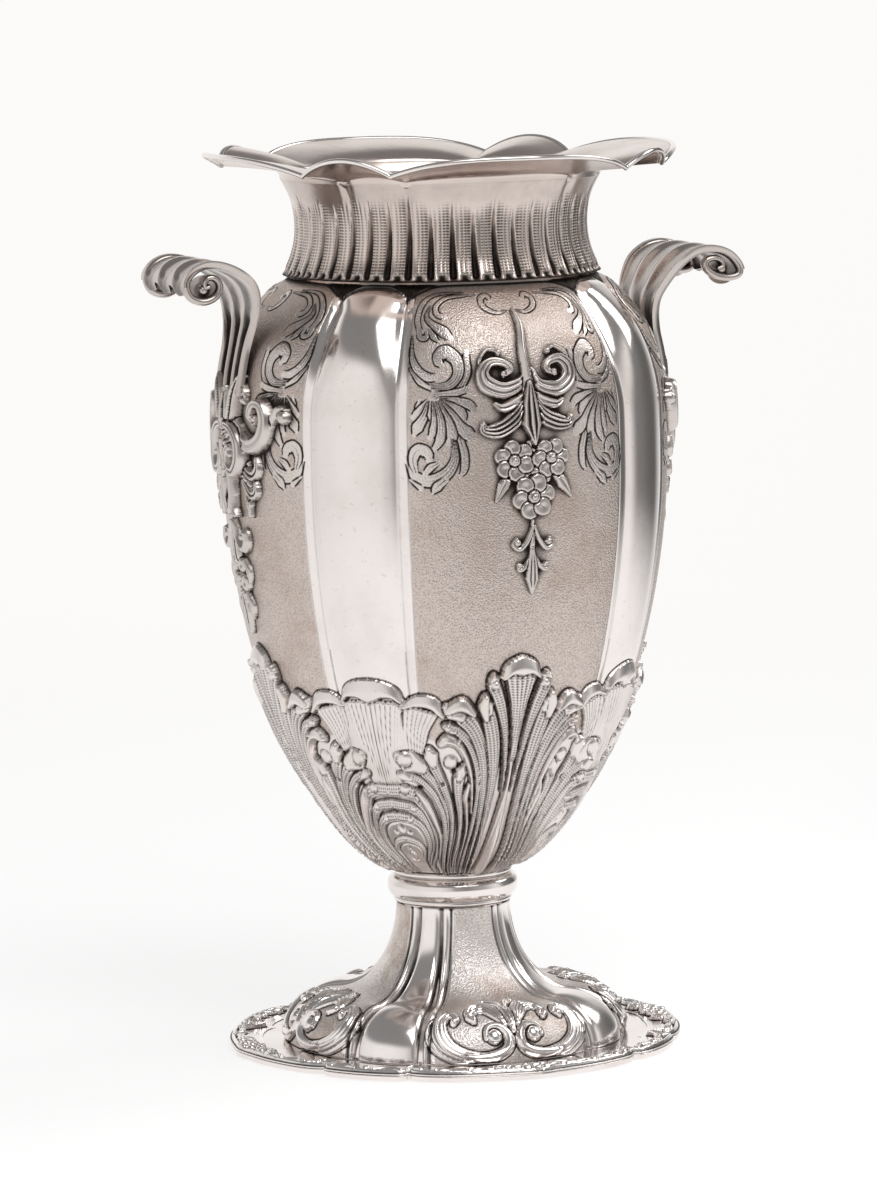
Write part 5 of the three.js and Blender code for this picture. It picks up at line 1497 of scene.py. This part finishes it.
def volute_eye(side, outline, edge, edge_name):
    """The disc that fills a volute a little below its band, with a channel round its centre."""
    curve, _, t = outline_frames(outline)
    centre = curve[t > EYE_FROM].mean(0)
    turns = np.linspace(0, 2 * math.pi, 49)
    rings = np.linspace(1, 0.02, 14)[:, None]
    rise = np.interp(rings, [0.02, 0.2, 0.34, 0.5, 1], [1.6, 1.3, -0.2, -0.6, 0.2])
    x = centre[0] - edge * EYE_SIZE[0] * rings * np.cos(turns)
    y = edge * (HANDLE_ROLL_WIDTH / 2 - EYE_INSET + rise) * np.ones_like(x)
    z = centre[1] + EYE_SIZE[1] * rings * np.sin(turns)
    darkening = np.interp(rings, [0, 0.22, 0.36, 0.6, 1], [0, 0.1, 0.7, 0.35, 0.35]) * np.ones_like(x)
    points = np.stack([x, y, z], -1)
    grid_piece("volute_eye_" + side + edge_name, points, {"cavity": darkening}, "handle_" + side, HANDLE)


def handles():
    for side, outline in (("left", LEFT_OUTLINE), ("right", RIGHT_OUTLINE)):
        handle_band(side, outline)
        for edge, edge_name in ((-1, "_near"), (1, "_far")):
            handle_volute(side, outline, edge, edge_name)
            volute_eye(side, outline, edge, edge_name)


# Stage, light and camera


def stand(obj, right, up, back, place):
    """Puts an object at a place, in metres, with its own axes as given."""
    matrix = np.eye(4)
    matrix[:3] = np.stack([right, up, back, place], 1)
    obj.matrix_world = Matrix(matrix.tolist())


def camera():
    data = bpy.data.cameras.new("camera")
    data.lens = CAMERA_LENS
    data.sensor_width = 36
    data.clip_end = 100
    obj = put_in_scene("camera", data)
    bpy.context.scene.camera = obj
    place = np.array([math.sin(CAMERA_AZIMUTH), -math.cos(CAMERA_AZIMUTH), 0]) * CAMERA_DISTANCE
    place[2] = CAMERA_HEIGHT
    right = np.array([math.cos(CAMERA_AZIMUTH), math.sin(CAMERA_AZIMUTH), 0])
    aim = np.array([0, 0, CAMERA_AIM_HEIGHT]) - CAMERA_AIM_LEFT * right
    ahead = (aim - place) / np.linalg.norm(aim - place)
    right = np.cross(ahead, [0, 0, 1])
    right /= np.linalg.norm(right)
    up = np.cross(right, ahead)
    c, s = math.cos(CAMERA_ROLL), math.sin(CAMERA_ROLL)
    stand(obj, c * right - s * up, s * right + c * up, -ahead, place)


def round_light(n, position):
    """A colour for each direction round the vase, by degrees from the camera's side."""
    split = n.add("ShaderNodeSeparateXYZ")
    n.put(split.inputs[0], position)
    turn = n.math("ARCTAN2", split.outputs["Y"], split.outputs["X"])
    camera_side = math.atan2(-math.cos(CAMERA_AZIMUTH), math.sin(CAMERA_AZIMUTH))
    wrapped = n.math("WRAP", n.math("SUBTRACT", turn, camera_side), math.pi, -math.pi)
    band = n.add("ShaderNodeMapRange")
    n.put(band.inputs["Value"], wrapped)
    n.put(band.inputs["From Min"], -math.pi)
    n.put(band.inputs["From Max"], math.pi)
    ramp = n.add("ShaderNodeValToRGB")
    n.put(ramp.inputs["Fac"], band.outputs["Result"])
    ramp.color_ramp.interpolation = "EASE"
    elements = ramp.color_ramp.elements
    while len(elements) < len(ROUND_LIGHT):
        elements.new(0.5)
    for element, (at, level) in zip(elements, ROUND_LIGHT):
        element.position = (at + 180) / 360
        element.color = (*(level * tint for tint in WARMTH), 1)
    return ramp.outputs["Color"], split.outputs["Z"]


def grey(level):
    return (level, level, level, 1)


def floor_material():
    """White near the vase and behind it, and dimmer towards the dark room."""
    material = bpy.data.materials.new("floor")
    material.use_nodes = True
    n = Nodes(material.node_tree)
    out = n.add("ShaderNodeOutputMaterial")
    place = n.add("ShaderNodeTexCoord").outputs["Object"]
    measure = n.add("ShaderNodeVectorMath", operation="LENGTH")
    n.put(measure.inputs[0], place)
    far = n.ramp(measure.outputs["Value"], NEAR_FLOOR, FAR_FLOOR)
    shade = n.add("ShaderNodeBsdfDiffuse")
    n.put(shade.inputs["Color"], n.mix(far, grey(FLOOR_COLOUR), grey(0)))
    glow = n.add("ShaderNodeEmission")
    n.put(glow.inputs["Color"], n.mix(far, grey(NEAR_GLOW), round_light(n, place)[0]))
    path = n.add("ShaderNodeLightPath").outputs
    seen = n.plus(path["Is Camera Ray"], path["Is Glossy Ray"], clamp=True)
    n.put(glow.inputs["Strength"], n.plus(seen, path["Is Transmission Ray"], clamp=True))
    total = n.add("ShaderNodeAddShader")
    n.put(total.inputs[0], shade.outputs[0])
    n.put(total.inputs[1], glow.outputs[0])
    n.put(out.inputs["Surface"], total.outputs[0])
    return material


def floor():
    """A plain pale floor of rings round the vase."""
    angles = np.linspace(0, 2 * math.pi, 97)[:-1]
    count = len(angles)
    rim = [[r * math.cos(a), r * math.sin(a), -FLOOR_SINK] for r in FLOOR_RINGS for a in angles]
    faces = [[0, 1 + k, 1 + (k + 1) % count] for k in range(count)]
    for ring in range(len(FLOOR_RINGS) - 1):
        for k in range(count):
            a, b = 1 + ring * count + k, 1 + ring * count + (k + 1) % count
            faces.append([a, a + count, b + count, b])
    mesh = bpy.data.meshes.new("floor")
    mesh.from_pydata([[0, 0, -FLOOR_SINK]] + rim, [], faces)
    mesh.materials.append(floor_material())
    put_in_scene("floor", mesh)


def surroundings():
    """Soft studio surroundings: white sides, a dim room round the camera, and one dark gap."""
    world = bpy.data.worlds.new("studio")
    bpy.context.scene.world = world
    world.use_nodes = True
    n = Nodes(world.node_tree)
    out = n.add("ShaderNodeOutputWorld")
    back = n.add("ShaderNodeBackground")
    n.put(out.inputs["Surface"], back.outputs[0])
    sides, z = round_light(n, n.add("ShaderNodeTexCoord").outputs["Generated"])
    n.put(back.inputs["Color"], n.mix(n.ramp(z, 0.42, 0.6), sides, grey(CEILING)))
    n.put(back.inputs["Strength"], 1.0)


def lamp(name, azimuth, elevation, distance, size, watts):
    data = bpy.data.lights.new(name, "AREA")
    data.shape = "RECTANGLE"
    data.size, data.size_y = size
    data.energy = watts
    a = CAMERA_AZIMUTH + math.radians(azimuth)
    e = math.radians(elevation)
    toward = np.array([math.sin(a) * math.cos(e), -math.cos(a) * math.cos(e), math.sin(e)])
    right = np.array([math.cos(a), math.sin(a), 0])
    place = toward * distance + np.array([0, 0, LAMPS_AIM])
    stand(put_in_scene(name, data), right, np.cross(toward, right), toward, place)


plaques = {"plaque": plaque(), "flower_cluster": flower_cluster(), "plaque_drop": plaque_drop()}
mounts = {"handle_mount": handle_mount(), "handle_pendant": handle_pendant()}
upper_body(plaques, mounts)
calyx()
body_lining()
neck()
rim_wire()
knop()
foot_dome()
foot_plate()
castings(plaques, ("front", "back"))
castings(mounts, ("left", "right"))
handles()
for fixing in ("foot_stud", "foot_washer", "foot_nut"):
    bpy.data.objects[fixing].data.materials.clear()
    bpy.data.objects[fixing].data.materials.append(STEEL)

camera()
floor()
surroundings()
for lamp_name, setting in LAMPS.items():
    lamp(lamp_name, *setting)
bpy.context.scene.view_settings.view_transform = "Standard"
